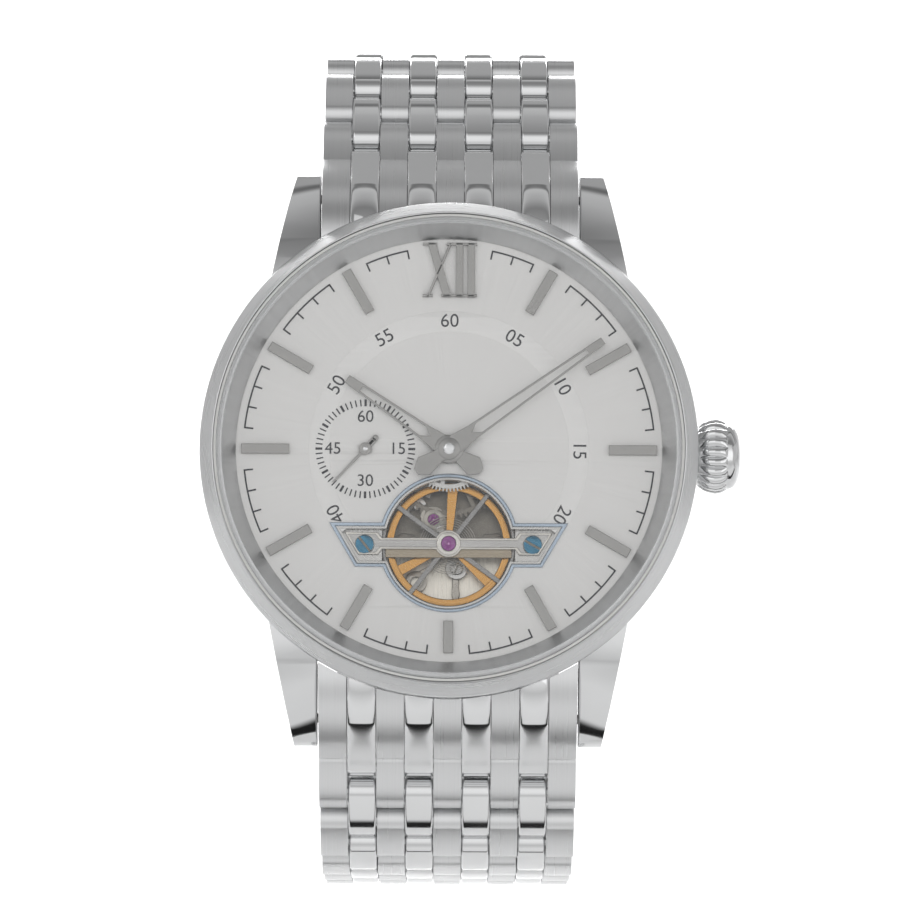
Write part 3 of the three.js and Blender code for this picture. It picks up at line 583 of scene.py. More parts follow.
def heart_outline(grow):
    """The round heart with a slanting wing on each side, grown from the window in the dial."""
    radius = HEART + grow
    grow -= FRAME_WIDTH
    top, bottom = WING["top"] + grow, WING["bottom"] - grow
    upper = math.degrees(math.asin((top - BALANCE[1]) / radius))
    lower = math.degrees(math.asin((bottom - BALANCE[1]) / radius))
    slant = (WING["top_x"] - WING["bottom_x"]) / (WING["top"] - WING["bottom"])
    top_x = WING["top_x"] + 1.15 * grow + slant * grow
    bottom_x = WING["bottom_x"] + 1.15 * grow - slant * grow
    outline = arc(radius, upper, 180 - upper, BALANCE)
    outline += [(-top_x, top), (-bottom_x, bottom)]
    outline += arc(radius, 180 - lower, 360 + lower, BALANCE)
    outline += [(bottom_x, bottom), (top_x, top)]
    return outline


def number(text, size, centre, turn, thickness=0.012):
    data = bpy.data.curves.new("number", "FONT")
    data.body = text
    data.size = size
    data.align_x = "CENTER"
    data.align_y = "CENTER"
    data.extrude = thickness / 2
    mesh = mesh_of(shown("number", data))
    cosine, sine = math.cos(turn), math.sin(turn)
    for vertex in mesh.vertices:
        u, v, w = vertex.co
        vertex.co = to_row(centre[0] + u * cosine - v * sine, centre[1] + u * sine + v * cosine, w + PRINT_Z)
    return mesh


PRINT_Z = DIAL_TOP + 0.03
PRINT = (PRINT_Z - 0.006, PRINT_Z + 0.006)


def minute_track():
    """Between two hour markers, an arc with a tick at each minute; beside 12, one minute less."""
    prints = []
    for hour in range(12):
        first = 5 * hour + (2 if hour == 0 else 1)
        last = 5 * hour + (3 if hour == 11 else 4)
        start, end = 90 - 6 * last, 90 - 6 * first
        band = arc(17.38, start - 0.22, end + 0.22, steps=24) + arc(17.24, end + 0.22, start - 0.22, steps=24)
        prints.append(extruded([band], *PRINT))
        for minute in range(first, last + 1):
            prints.append(extruded([strip(clock(16.58, 6 * minute), clock(17.3, 6 * minute), 0.14)], *PRINT))
    return prints


def small_seconds_track():
    prints = []
    for second in range(60):
        width = 0.2 if second % 5 == 0 else 0.11
        line = strip(clock(3.62, 6 * second, SMALL_SECONDS), clock(4.2, 6 * second, SMALL_SECONDS), width)
        prints.append(extruded([line], *PRINT))
    for text, angle in (("60", 0), ("15", 90), ("30", 180), ("45", 270)):
        prints.append(number(text, 1.42, clock(2.72, angle, SMALL_SECONDS), 0))
    return prints


def ring_numbers():
    prints = []
    for value in (60, 5, 10, 15, 20, 40, 50, 55):
        turn = -math.radians(6 * value)
        prints.append(number(f"{value:02d}", 1.6, clock(10.95, 6 * value), turn))
    return prints


def baton(hour):
    inner, outer = (14.5, 17.2) if hour == 6 else (13.45, 17.5)
    outline = strip(clock(inner, 30 * hour), clock(outer, 30 * hour), 0.82)
    return extruded([outline], DIAL_TOP - 0.05, DIAL_TOP + 0.42, 0.06)


def roman_twelve():
    """XII in applied metal: thick and thin strokes standing between shared serif bars."""
    low, high, serif = 13.0, 17.6, 0.2
    pieces = []
    strokes = ((-0.21, -1.55, 0.7), (-1.87, 0.08, 0.22), (0.81, 0.81, 0.62), (1.8, 1.8, 0.62))
    for x_low, x_high, width in strokes:
        half = width / 2
        outline = [(x_low - half, low), (x_low + half, low), (x_high + half, high), (x_high - half, high)]
        pieces.append(extruded([outline], DIAL_TOP - 0.05, DIAL_TOP + 0.4, 0.05))
    for start, end, y in ((-2.29, -1.45, low), (-0.74, 2.3, low), (-2.29, -1.08, high), (-0.28, 2.3, high)):
        base = y if y == low else y - serif
        outline = [(start, base), (end, base), (end, base + serif), (start, base + serif)]
        pieces.append(extruded([outline], DIAL_TOP - 0.05, DIAL_TOP + 0.4, 0.04))
    return pieces


def make_dial():
    plate = extruded([
        circle(18.2, steps=220), heart_outline(0.05), circle(1.15), circle(0.4, SMALL_SECONDS, 32),
    ], 7.3, DIAL_TOP, 0.015, steps=1)
    add_piece("dial_plate", plate, "dial", CASE, ["dial"])
    raised = arc(11.8, -38, 180 + 38, steps=160) + arc(10.1, 180 + 38, -38, steps=160)
    ring = extruded([raised], DIAL_TOP - 0.1, DIAL_TOP + 0.022, 0.01, steps=1)
    add_piece("dial_raised_ring", ring, "ring", CASE)
    prints = minute_track() + small_seconds_track() + ring_numbers()
    add_piece("dial_printing", merged("printing", prints), "print", CASE)
    markers = [baton(hour) for hour in range(1, 12)] + roman_twelve()
    add_piece("hour_markers", merged("markers", markers), "marker", CASE)
    rim = extruded([heart_outline(FRAME_WIDTH), heart_outline(0.12)], DIAL_TOP - 0.02, DIAL_TOP + 0.22, 0.1)
    add_piece("heart_frame", rim, "frame_steel", CASE, ["aperture_frame"])
    wall = extruded([heart_outline(0.12), heart_outline(-0.1)], 7.3, DIAL_TOP + 0.1, 0.05)
    add_piece("heart_wall", wall, "turned", CASE)


# ------------------------------------------------------------------ hands

def hand_outline(angle, length, root, tip, tail):
    def at(distance, offset):
        x, y = clock(distance, angle)
        side_x, side_y = clock(offset, angle + 90)
        return x + side_x, y + side_y

    half = [
        (length, tip), (2.4, root), (0.8, root + 0.18), (-0.5, root), (-1.1, 0.55), (-2.55, 0.9),
        (-tail, 0.3),
    ]
    return [at(d, o) for d, o in half] + [at(d, -o) for d, o in reversed(half)], at


def make_hand(name, body, angle, length, root, tip, slot, tail, level, nodes, hub):
    outline, at = hand_outline(angle, length, root, tip, tail)
    rim = 0.2
    reach = length - slot[1]
    near, far = slot
    near_half = root - rim
    far_half = tip + (root - tip) * reach / length - rim * 0.9
    window = [
        at(near - 0.75, 0), at(near, near_half), at(far, far_half), at(far, -far_half), at(near, -near_half),
    ]
    blade = extruded([outline, window], *level, 0.045, steps=2)
    add_piece(name, blade, "hand", body, nodes)
    low, high = level[0], level[1] + 0.12
    boss = [(0.0, low), (hub, low), (hub, high - 0.06), (hub - 0.1, high), (0.0, high)]
    add_piece(name + "_hub", turned(boss, segments=64), "hand", body)


def make_hands():
    make_hand(
        "hour_hand_blade", "hour", 304.6, 10.46, 0.66, 0.37, (2.7, 9.0), 3.3, (8.15, 8.3),
        ["hour_hand"], 1.2,
    )
    make_hand(
        "minute_hand_blade", "minute", 54.5, 15.9, 0.66, 0.33, (3.1, 14.3), 3.4, (8.5, 8.65),
        ["minute_hand"], 0.92,
    )
    pin = [(0.0, 7.0), (0.49, 7.0), (0.49, 8.78), (0.4, 8.87), (0.2, 8.9), (0.0, 8.9)]
    add_piece("centre_pin", turned(pin, segments=48), "polished", "minute")
    angle = 223.3
    needle = strip(clock(1.0, angle + 180, SMALL_SECONDS), clock(3.96, angle, SMALL_SECONDS), 0.3, 0.16)
    tail = strip(clock(1.2, angle + 180, SMALL_SECONDS), clock(0.3, angle + 180, SMALL_SECONDS), 0.5)
    ring = circle(0.53, SMALL_SECONDS, 40)
    meshes = [
        extruded([needle], 7.86, 7.96, 0.03, steps=1), extruded([tail], 7.86, 7.96, 0.03, steps=1),
        extruded([circle(0.27, clock(1.25, angle + 180, SMALL_SECONDS), 24)], 7.86, 7.96, 0.03, steps=1),
        extruded([ring], 7.85, 8.0, 0.04, steps=2),
    ]
    add_piece("small_seconds_needle", merged("needle", meshes), "hand", "fourth", ["small_seconds_hand"])
    pivot = turned([(0.0, 7.7), (0.2, 7.7), (0.2, 8.02), (0.12, 8.06), (0.0, 8.06)], SMALL_SECONDS, 24)
    add_piece("small_seconds_pivot", pivot, "polished", "fourth")


# ------------------------------------------------------------------ open heart

def slotted_screw(name, centre, radius, level, look, slot_angle, body=CASE, nodes=()):
    """A screw head whose slot runs at a clockwise angle: a disc under two half rounds, the disc a dark steel
    of painted shade seen as the slot's floor.
    """
    low, high = level
    floor_z, half_slot = high - 0.12, radius * 0.13
    # The disc under the slot is painted shade: its dark steel stands in for the shade in the slot.
    base = turned([(0.0, low), (radius - 0.02, low), (radius - 0.02, floor_z), (0.0, floor_z)], centre, 48)
    add_piece(f"{name}_slot", base, "shadow_steel", body)
    halves = []
    edge = math.degrees(math.asin(half_slot / radius))
    for start in (90 - slot_angle, 270 - slot_angle):
        half_round = arc(radius, start + edge, start + 180 - edge, centre, 32)
        halves.append(extruded([half_round], floor_z - 0.02, high, 0.02, steps=1))
    add_piece(name, merged(name, halves), look, body, nodes)


def jewel(name, centre, radius, level, nodes=()):
    low, high = level
    stone = [
        (0.0, low), (radius, low), (radius, high - 0.05), (radius * 0.9, high), (radius * 0.45, high - 0.05),
        (radius * 0.16, high - 0.16), (0.0, high - 0.16),
    ]
    add_piece(name, turned(stone, centre, 48), "ruby", CASE, nodes)
    drop = [(0.0, high - 0.17), (radius * 0.2, high - 0.17), (radius * 0.14, high - 0.06), (0.0, high - 0.02)]
    add_piece(name + "_pivot", turned(drop, centre, 24), "ruby_oil", CASE)


def bridge_outline(inset):
    """The bridge over the balance: a bar with a round boss, spreading into a leaf at each end."""
    middle = BALANCE[1]
    bar, boss = 0.48 - inset, 1.15 - inset
    rise = math.degrees(math.asin(bar / boss))
    right = [
        (5.6 + inset, bar), (5.95 + inset, 0.95 - inset), (8.75 - 1.5 * inset, 0.95 - inset),
        (7.6 - 0.7 * inset, -0.95 + inset), (5.95 + inset, -0.95 + inset), (5.6 + inset, -bar),
    ]
    outline = arc(boss, 180 - rise, rise, steps=20)
    outline += right
    outline += arc(boss, -rise, rise - 180, steps=20)
    outline += [(-x, y) for x, y in reversed(right)]
    return [(x, y + middle) for x, y in outline]


def make_balance_bridge():
    screws = {"right": (7.07, -8.0), "left": (-7.07, -8.0)}
    slots = {"right": 120, "left": 142}
    holes = [circle(0.62, BALANCE, 40)] + [circle(0.8, centre, 40) for centre in screws.values()]
    bar = extruded([bridge_outline(0.02)] + holes, 6.95, 7.26, 0.03)
    add_piece("bridge_bar", bar, "bridge", CASE, ["balance_bridge"])
    rim = extruded([bridge_outline(0.0), bridge_outline(0.2)], 7.22, 7.4, 0.07, steps=2)
    boss = extruded([circle(1.0, BALANCE, 48), circle(0.62, BALANCE, 48)], 7.22, 7.46, 0.08)
    add_piece("bridge_rails", merged("rails", [rim, boss]), "rail", CASE)
    for label, side in (("right", 1), ("left", -1)):
        plate = [
            (5.6 * side, WING["top"] - 0.35), (9.35 * side, WING["top"] - 0.35),
            (7.65 * side, WING["bottom"] + 0.35), (5.6 * side, WING["bottom"] + 0.35),
        ]
        add_piece(f"bridge_foot_{label}", extruded([plate], 6.92, 7.04, 0.02), "turned", CASE)
        name, node = f"blued_screw_{label}", f"bridge_screw_{label}"
        slotted_screw(name, screws[label], 0.76, (7.13, 7.5), "blued", slots[label], CASE, [node])
    jewel("balance_stone", BALANCE, 0.6, (7.06, 7.47), ["balance_jewel"])
    flange = [(-5.3, -9.05), (5.3, -9.05), (5.3, -8.3), (-5.3, -8.3)]
    add_piece("bridge_flange", extruded([flange], 6.9, 7.04, 0.03), "bronze", CASE)


def make_guard():
    arms = []
    for angle in (38, 126.5):
        bar = strip(clock(5.42, angle, BALANCE), clock(5.42, angle + 180, BALANCE), 0.4)
        arms.append(extruded([bar], 6.62, 6.84, 0.05))
    hub = extruded([circle(0.72, BALANCE, 40), circle(0.34, BALANCE, 24)], 6.62, 6.86, 0.04)
    rim = extruded([circle(5.6, BALANCE, 96), circle(5.36, BALANCE, 96)], 6.62, 6.84, 0.04)
    add_piece("guard_spider", merged("guard", arms + [hub, rim]), "spider", CASE, ["heart_guard"])


def make_balance():
    rim = extruded([circle(5.24, BALANCE, 128), circle(4.62, BALANCE, 128)], 6.05, 6.5, 0.08)
    parts = [rim, extruded([circle(0.75, BALANCE, 40), circle(0.2, BALANCE, 16)], 6.02, 6.52, 0.06)]
    for angle in (4, 133, 242):
        spoke = strip(clock(0.5, angle, BALANCE), clock(4.75, angle, BALANCE), 0.5, 0.9)
        parts.append(extruded([spoke], 6.08, 6.44, 0.05))
    add_piece("balance_rim", merged("balance", parts), "gilt", "balance", ["balance_wheel"])
    staff = turned([(0.0, 4.4), (0.19, 4.4), (0.19, 6.8), (0.07, 6.9), (0.0, 6.92)], BALANCE, 20)
    add_piece("balance_staff", staff, "polished", "balance")
    coil_turns, samples = 9, 36
    outer, inner = [], []
    for i in range(coil_turns * samples + 1):
        share = i / (coil_turns * samples)
        radius = 0.75 + 1.75 * share
        angle = 360 * coil_turns * share
        outer.append(clock(radius + 0.025, angle, BALANCE))
        inner.append(clock(radius - 0.025, angle, BALANCE))
    spring = extruded([outer + inner[::-1]], 5.74, 5.92)
    add_piece("hairspring_coil", spring, "dark_plate", "balance", ["hairspring"])


def make_heart_furniture():
    """The small fixed things seen through the heart: fork cock, regulator, studs and their screws."""
    # A dark sheet of painted shade behind the upper half of the heart, where the movement lies in shade.
    backing = arc(5.5, -2, 182, BALANCE)
    add_piece("heart_backing", extruded([backing], 4.12, 4.2, 0.02), "shadow_steel", CASE)
    silver = arc(5.5, 182, 358, BALANCE)
    add_piece("heart_silver_plate", extruded([silver], 4.3, 4.38, 0.02), "silver_plate", CASE)
    cock = smooth([
        (-2.3, -5.0), (-1.75, -4.6), (-0.85, -4.65), (-0.35, -5.2), (0.1, -6.0), (0.25, -6.8), (-0.4, -7.2),
        (-1.2, -6.9), (-2.0, -6.4), (-2.4, -5.6), (-2.3, -5.0),
    ], 3)[:-1]
    add_piece("fork_cock", extruded([cock, circle(0.5, FORK, 32)], 5.51, 5.61, 0.03), "cock_steel", CASE)
    collar = extruded([circle(0.85, FORK, 40), circle(0.5, FORK, 32)], 5.58, 5.67, 0.03)
    add_piece("fork_stone_collar", collar, "cock_steel", CASE)
    jewel("fork_stone", FORK, 0.48, (5.52, 5.68))
    slotted_screw("cock_screw", (-0.7, -6.42), 0.42, (5.55, 5.7), "turned", 70)
    plate_screw = (0.69, -9.75)
    slotted_screw("plate_screw", plate_screw, 0.5, (5.2, 5.5), "turned", 20)
    washer = extruded([circle(0.95, plate_screw, 48), circle(0.52, plate_screw, 32)], 5.1, 5.3, 0.06)
    add_piece("plate_washer", washer, "turned", CASE)
    ring = extruded([circle(0.95, (-2.75, -10.9), 40), circle(0.42, (-2.75, -10.9), 32)], 4.7, 5.0, 0.07)
    pointer = extruded([strip((-2.3, -10.2), (-0.4, -9.0), 0.6, 0.3)], 4.72, 4.96, 0.05)
    tail = extruded([strip((-2.6, -11.7), (-2.0, -12.6), 0.5, 0.5)], 4.72, 4.96, 0.06)
    add_piece("regulator", merged("regulator", [ring, pointer, tail]), "cock_steel", CASE)
    stud = smooth([
        (0.35, -10.6), (0.85, -10.6), (0.9, -11.4), (0.95, -12.1), (0.65, -12.6), (0.3, -12.2), (0.3, -11.4),
        (0.35, -10.6),
    ], 3)[:-1]
    add_piece("hairspring_stud", extruded([stud], 4.7, 5.05, 0.08), "cock_steel", CASE)
    # The clicks and the lever are drawn in shadow_steel: painted shade, deep inside the heart.
    for name, points in (
        ("left_click", [(-5.0, -7.4), (-3.9, -6.7), (-2.9, -6.9), (-2.6, -7.4)]),
        ("right_click", [(2.5, -7.4), (3.0, -6.8), (4.2, -6.7), (4.9, -7.4)]),
        ("upper_lever", [(-3.9, -4.6), (-2.9, -3.6), (-2.2, -3.7), (-2.6, -4.3), (-3.3, -4.9)]),
    ):
        add_piece(name, extruded([points], 4.5, 4.8, 0.06), "shadow_steel", CASE)


# ------------------------------------------------------------------ movement

def ring_of(radius, hole, low, high, centre=(0, 0), bevel=0.04):
    return extruded([circle(radius, centre, 96), circle(hole, centre, 40)], low, high, bevel, steps=1)


def wheel(name, body, centre, radius, teeth, depth, level, look, nodes, spokes=5, hub=0.9):
    """A toothed wheel with a thin rim and spokes."""
    low, high = level
    rim = extruded([gear(radius, teeth, depth, centre), circle(radius - depth - 0.35, centre, 96)], low, high)
    parts = [rim, extruded([circle(hub, centre, 40)], low, high)]
    for i in range(spokes):
        angle = 360 * i / spokes + 11
        spoke = strip(clock(hub * 0.8, angle, centre), clock(radius - depth - 0.25, angle, centre), 0.36)
        parts.append(extruded([spoke], low + 0.01, high - 0.01))
    add_piece(name, merged(name, parts), look, body, nodes)


def arbor(name, body, centre, sections, look):
    """A stepped shaft: (radius, low, high) sections."""
    parts = [turned([(0.0, low), (r, low), (r, high), (0.0, high)], centre, 28) for r, low, high in sections]
    add_piece(name, merged(name, parts), look, body)


def make_train():
    wheel("hour_wheel_teeth", "hour", (0, 0), 3.5, 70, 0.28, (7.0, 7.2), "turned", ["hour_wheel"], 4, 1.3)
    pipe = ring_of(0.95, 0.68, 7.05, 8.08)
    add_piece("hour_pipe", pipe, "hand", "hour")
    # The centre wheel is drawn in shadow_steel: painted shade, as it lies deep under the dial.
    wheel(
        "centre_wheel_teeth", "center", (0, 0), 5.6, 80, 0.3, (5.45, 5.65), "shadow_steel",
        ["center_wheel"], 5, 1.2,
    )
    arbor("centre_arbor", "center", (0, 0), ((0.9, 4.4, 5.5), (0.4, 4.2, 5.6)), "polished")
    wheel("third_wheel_teeth", "third", THIRD, 3.85, 75, 0.2, (4.9, 5.08), "gilt", ["third_wheel"], 5, 0.8)
    arbor("third_arbor", "third", THIRD, ((0.62, 5.0, 5.7),), "polished")
    wheel("fourth_wheel_teeth", "fourth", FOURTH, 4.3, 84, 0.2, (4.35, 4.5), "gilt", ["fourth_wheel"], 5, 0.8)
    arbor("fourth_arbor", "fourth", FOURTH, ((0.46, 4.45, 5.3), (0.2, 5.2, 7.8)), "polished")
    wheel("escape_teeth", "escape", ESCAPE, 1.95, 15, 0.5, (5.2, 5.34), "turned", ["escape_wheel"], 4, 0.5)
    arbor("escape_arbor", "escape", ESCAPE, ((0.32, 4.25, 5.3),), "polished")
    drum = extruded([gear(5.45, 84, 0.22, BARREL)], 4.72, 5.0)
    lid = turned([(0.0, 4.36), (5.0, 4.36), (5.1, 4.44), (5.1, 5.22), (5.0, 5.3), (0.0, 5.3)], BARREL, 96)
    add_piece("barrel_drum", merged("drum", [drum, lid]), "brass", "barrel", ["mainspring_barrel"])
    minute_gear = extruded([gear(1.5, 24, 0.2, (4.2, 2.7))], 7.0, 7.2)
    add_piece("minute_wheel_teeth", minute_gear, "brass", "minute_wheel_body", ["minute_wheel"])


def make_plates():
    front = extruded([
        circle(15.4, steps=160), circle(HEART + 0.32, BALANCE, 96), circle(0.6), circle(0.35, FOURTH, 24),
    ], 5.8, 6.9, 0.06)
    add_piece("dial_side_plate", front, "plate", CASE, ["main_plate"])
    spacer = [(15.6, 4.2), (17.2, 4.2), (17.2, 6.9), (15.6, 6.9)]
    add_piece("spacer_ring", turned(spacer, segments=128), "spacer", CASE, ["movement_ring"])


def make_back_bridges():
    left, right = -2.2, -1.2

    def edge(x, shift):
        return left + (right - left) * (x + 16) / 32 + shift

    radius = 15.2
    stem = 1.35
    reach = math.sqrt(radius ** 2 - stem ** 2)
    top_start = math.degrees(math.asin(stem / radius))
    left_end = math.degrees(math.asin(edge(-15, 0.1) / radius))
    upper = arc(radius, top_start, 180 - left_end, steps=110)
    upper += [(9.2, edge(9.2, 0.1)), (10.2, -0.4), (10.2, stem)]
    holes = [circle(0.8, BARREL, 32), circle(0.55, THIRD, 28), circle(1.4, (0, 0), 40)]
    plate = extruded([upper] + holes, 3.3, 4.1, 0.09)
    add_piece("barrel_side_bridge", plate, "rotor", CASE, ["barrel_bridge"])
    lower = arc(radius, 180 - math.degrees(math.asin(edge(-15, -0.1) / radius)), 360 - top_start, steps=110)
    lower += [(10.2, -stem), (10.2, edge(10.2, -0.1) - 0.3)]
    holes = [circle(0.5, ESCAPE, 28), circle(0.45, FORK, 24), circle(0.6, BALANCE, 28)]
    plate = extruded([lower] + holes, 3.3, 4.1, 0.09)
    add_piece("train_side_bridge", plate, "plate", CASE, ["train_bridge"])
    screws = ((-12.2, 5.6), (2.2, 13.0), (12.2, 7.0), (-11.5, -7.0), (9.8, -9.2), (0.8, -13.4))
    for i, centre in enumerate(screws):
        back_screw(f"bridge_screw_{i + 1}", centre)
    stones = ((THIRD, 0.55), (ESCAPE, 0.5), (FORK, 0.45), (BALANCE, 0.6))
    for i, (centre, size) in enumerate(stones):
        stone = turned([(0.0, 3.32), (size * 0.3, 3.24), (size, 3.26), (size, 3.7), (0.0, 3.7)], centre, 40)
        add_piece(f"back_jewel_{i + 1}", stone, "ruby", CASE)


def back_screw(name, centre):
    head = turned([(0.0, 3.02), (0.85, 3.02), (0.95, 3.1), (0.95, 3.3), (0.0, 3.3)], centre, 40)
    slot = extruded([strip(clock(1.2, 40, centre), clock(1.2, 220, centre), 0.24)], 2.8, 3.12)
    add_piece(name, cut_away(head, [slot]), "blued", CASE)


def make_winding():
    ratchet = extruded([gear(4.05, 40, 0.35, BARREL), circle(0.35, BARREL, 4)], 2.95, 3.2, 0.03, steps=1)
    add_piece("ratchet_teeth", ratchet, "turned", "ratchet", ["ratchet_wheel"])
    teeth = gear(2.62, 28, 0.32, CROWN_WHEEL)
    crown_wheel = extruded([teeth, circle(0.9, CROWN_WHEEL, 40)], 2.95, 3.2, 0.03, steps=1)
    add_piece("crown_wheel_teeth", crown_wheel, "turned", "crown_wheel_body", ["crown_wheel"])
    core = turned([(0.0, 2.88), (0.8, 2.88), (0.85, 2.93), (0.85, 4.0), (0.0, 4.0)], CROWN_WHEEL, 36)
    add_piece("crown_wheel_core", core, "polished", "crown_wheel_body")


def make_rotor():
    outer = arc(14.4, 180, 360, steps=96)
    web = arc(11.6, 180, 360, steps=96) + [(2.9, 0.0)] + arc(2.9, 360, 180, steps=24)
    window_left = arc(9.9, 200, 258, steps=30) + arc(4.6, 252, 206, steps=16)
    window_right = arc(9.9, 282, 340, steps=30) + arc(4.6, 334, 288, steps=16)
    body = extruded([web, window_left, window_right], 1.9, 2.3, 0.05)
    weight = extruded([outer + arc(11.4, 360, 180, steps=96)], 1.86, 2.75, 0.12)
    hub = ring_of(3.1, 1.6, 1.86, 2.75, bevel=0.1)
    add_piece("rotor_weight", merged("rotor", [body, weight, hub]), "rotor", "rotor_body", ["rotor"])
    cap = turned([(0.0, 1.96), (1.0, 1.96), (1.2, 2.02), (1.45, 2.2), (1.45, 3.24), (0.0, 3.24)], (0, 0), 64)
    slots = [extruded([strip(clock(0.35, a), clock(0.95, a), 0.28)], 1.5, 2.15) for a in (0, 120, 240)]
    add_piece("rotor_bearing_cap", cut_away(cap, slots), "polished", CASE, ["rotor_bearing"])


# ------------------------------------------------------------------ crown

def make_crown():
    """An onion crown: rounded flutes that die away towards the case and towards the domed cap."""
    flutes, flute_depth = 20, 0.34
    profile = [
        (20.95, 0.8, 0), (20.95, 2.45, 0), (21.1, 2.62, 0.2), (21.5, 2.9, 0.8), (22.0, 3.1, 1),
        (22.5, 3.2, 1), (23.0, 3.12, 0.8), (23.35, 2.95, 0.3), (23.55, 2.8, 0), (23.75, 2.78, 0),
        (24.1, 2.6, 0), (24.35, 2.3, 0), (24.55, 1.8, 0), (24.6, 1.5, 0), (24.6, 0.0, 0),
        (22.2, 0.0, 0), (22.2, 0.8, 0),
    ]
    dense = []
    for start, end in zip(profile, profile[1:]):
        steps = 3 if start[2] or end[2] else 1
        for i in range(steps):
            dense.append(tuple(a + (b - a) * i / steps for a, b in zip(start, end)))
    dense.append(profile[-1])
    segments = flutes * 12
    points, faces = [], []
    for i in range(segments):
        angle = 2 * math.pi * i / segments
        wave = 1 - abs(math.cos(angle * flutes / 2)) ** 0.7
        for x, r, share in dense:
            radius = r - flute_depth * share * wave
            points.append(to_row(x, radius * math.cos(angle), CROWN_Z + radius * math.sin(angle)))
    count = len(dense)
    for i in range(segments):
        here, there = i * count, ((i + 1) % segments) * count
        for k in range(count):
            after = (k + 1) % count
            faces.append((here + k, here + after, there + after, there + k))
    add_piece("crown_knob", mesh_from("crown", points, faces), "polished", "crown_body", ["crown"])

    def place(r, angle, x):
        return to_row(x, r * math.cos(angle), CROWN_Z + r * math.sin(angle))

    tube = turned([(0.75, 17.3), (1.3, 17.3), (1.3, 20.9), (0.75, 20.9)], segments=40, place=place)
    add_piece("tube", tube, "case_brushed", CASE, ["crown_tube"])
    stem_profile = [(0.0, 10.9), (0.4, 10.9), (0.4, 13.6), (0.6, 13.6), (0.6, 22.1), (0.0, 22.1)]
    stem = turned(stem_profile, segments=28, place=place)
    add_piece("winding_stem", stem, "hand", "crown_body", ["stem"])
    pinion_profile = [
        (0.5, 11.0), (0.85, 11.0), (0.85, 11.9), (0.65, 12.0), (0.65, 12.4), (0.85, 12.5), (0.85, 13.1),
        (0.5, 13.1),
    ]
    pinion = turned(pinion_profile, segments=28, place=place)
    add_piece("sliding_pinion_body", pinion, "hand", "pinion", ["sliding_pinion"])


# ------------------------------------------------------------------ bracelet

JOINTS = {joint["name"]: joint for joint in frame["joints"]}


def joint_place(name):
    """Where a CAD joint is, as (y, z) of the watch."""
    _, y, z = to_watch(Vector(JOINTS[name]["pos_m"]))
    return y, z


# How each side leaves the case, in degrees of slope link by link; then it runs straight and curls in.
SLOPES = {
    12: {"direction": 1, "first": (34, 36, 40, 52, 72, 86), "straight": 2, "curl": 1.3},
    6: {"direction": -1, "first": (38, 44, 60, 74, 86, 90), "straight": 1, "curl": 1.22},
}


def pin_line(side):
    """Every pin of one side, half a pitch apart, from the first hinge of the CAD frame."""
    rule = SLOPES[side]
    count = HINGE_LINKS[-1]
    bent_from = len(rule["first"]) + rule["straight"]
    y, z = joint_place(f"bracelet_{side}_fold")
    y *= rule["direction"]
    pins = [(y, z)]
    for i in range(count):
        bend = max(0, (i - bent_from) / (count - 1 - bent_from)) ** rule["curl"]
        slope = math.radians(rule["first"][i] if i < len(rule["first"]) else 90 + 90 * bend)
        y += PITCH / 2 * math.cos(slope)
        z -= PITCH / 2 * math.sin(slope)
        pins.append((y, z))
    return pins


def link_outline():
    """One link seen from the side: s along it from its first pin, n out from the wrist.

    The outer face is crowned from a round end to a crease, and a flat facet runs down from there.
    """
    length = PITCH / 2
    outline = arc(LINK_RADIUS, 250, 106, steps=12)
    crown = [(0.55, 1.47), (1.3, 1.56), (2.1, 1.58), (2.9, 1.52), (3.55, 1.38)]
    facet = [(4.28, 0.92), (4.5, 0.45), (4.54, 0.0)]
    heel = arc(LINK_RADIUS, -15, -90, (length, 0), 5)
    return (outline + crown + facet + heel)[::-1]


def column_mesh(bevel, width):
    outline = link_outline()
    return extruded([outline], -width / 2, width / 2, bevel, lambda s, n, w: Vector((s, n, w)), steps=3)


HALF_WIDTH, NARROWING = 10.9, 0.9
COLUMN_WIDTH = 2 * HALF_WIDTH / COLUMNS
BASE = {
    True: column_mesh(0.07, COLUMN_WIDTH - 0.05),
    False: column_mesh(0.2, COLUMN_WIDTH - 0.05),
}


def row_mesh(side, link, pins):
    """The columns of one row: the odd ones where the link's number is even."""
    direction = SLOPES[side]["direction"]
    (y1, z1), (y2, z2) = pins[link], pins[link + 1]
    length = math.dist(pins[link], pins[link + 1])
    ty, tz = (y2 - y1) / length, (z2 - z1) / length
    brushed = link % 2 == 0
    half = HALF_WIDTH - NARROWING * link / HINGE_LINKS[-1]
    width = 2 * half / COLUMNS
    proud = 1.0 if brushed else 1.03
    copies = []
    for column in range(0 if brushed else 1, COLUMNS, 2):
        x = -half + width * (column + 0.5)
        copy = BASE[brushed].copy()
        for vertex in copy.vertices:
            s, n, w = vertex.co
            n *= proud if n > 0 else 1
            y, z = y1 + s * ty - n * tz, z1 + s * tz + n * ty
            vertex.co = to_row(x + w * width / COLUMN_WIDTH, y * direction, z)
        if direction < 0:
            copy.flip_normals()
        copies.append(copy)
    return merged("row", copies)


def segment_of(link):
    return max(i for i, first in enumerate(HINGE_LINKS[:-1]) if link >= first) + 1


def make_bracelet():
    for side in (12, 6):
        pins = pin_line(side)
        direction = SLOPES[side]["direction"]
        shown = set()
        for link in range(HINGE_LINKS[-1]):
            segment = segment_of(link)
            body = f"segment_{side}_{segment}"
            node = [] if segment in shown else [f"bracelet_{side}_{segment}"]
            shown.add(segment)
            look = "link_brushed" if link % 2 == 0 else "link_polished"
            add_piece(f"row_{side}_{link + 1:02d}", row_mesh(side, link, pins), look, body, node)
            half = HALF_WIDTH - NARROWING * link / HINGE_LINKS[-1] - 0.12
            y, z = pins[link]
            rod = across(circle(0.42, (y * direction, z), 20), -half, half, 0.05, 1)
            add_piece(f"pin_{side}_{link + 1:02d}", rod, "polished", body)


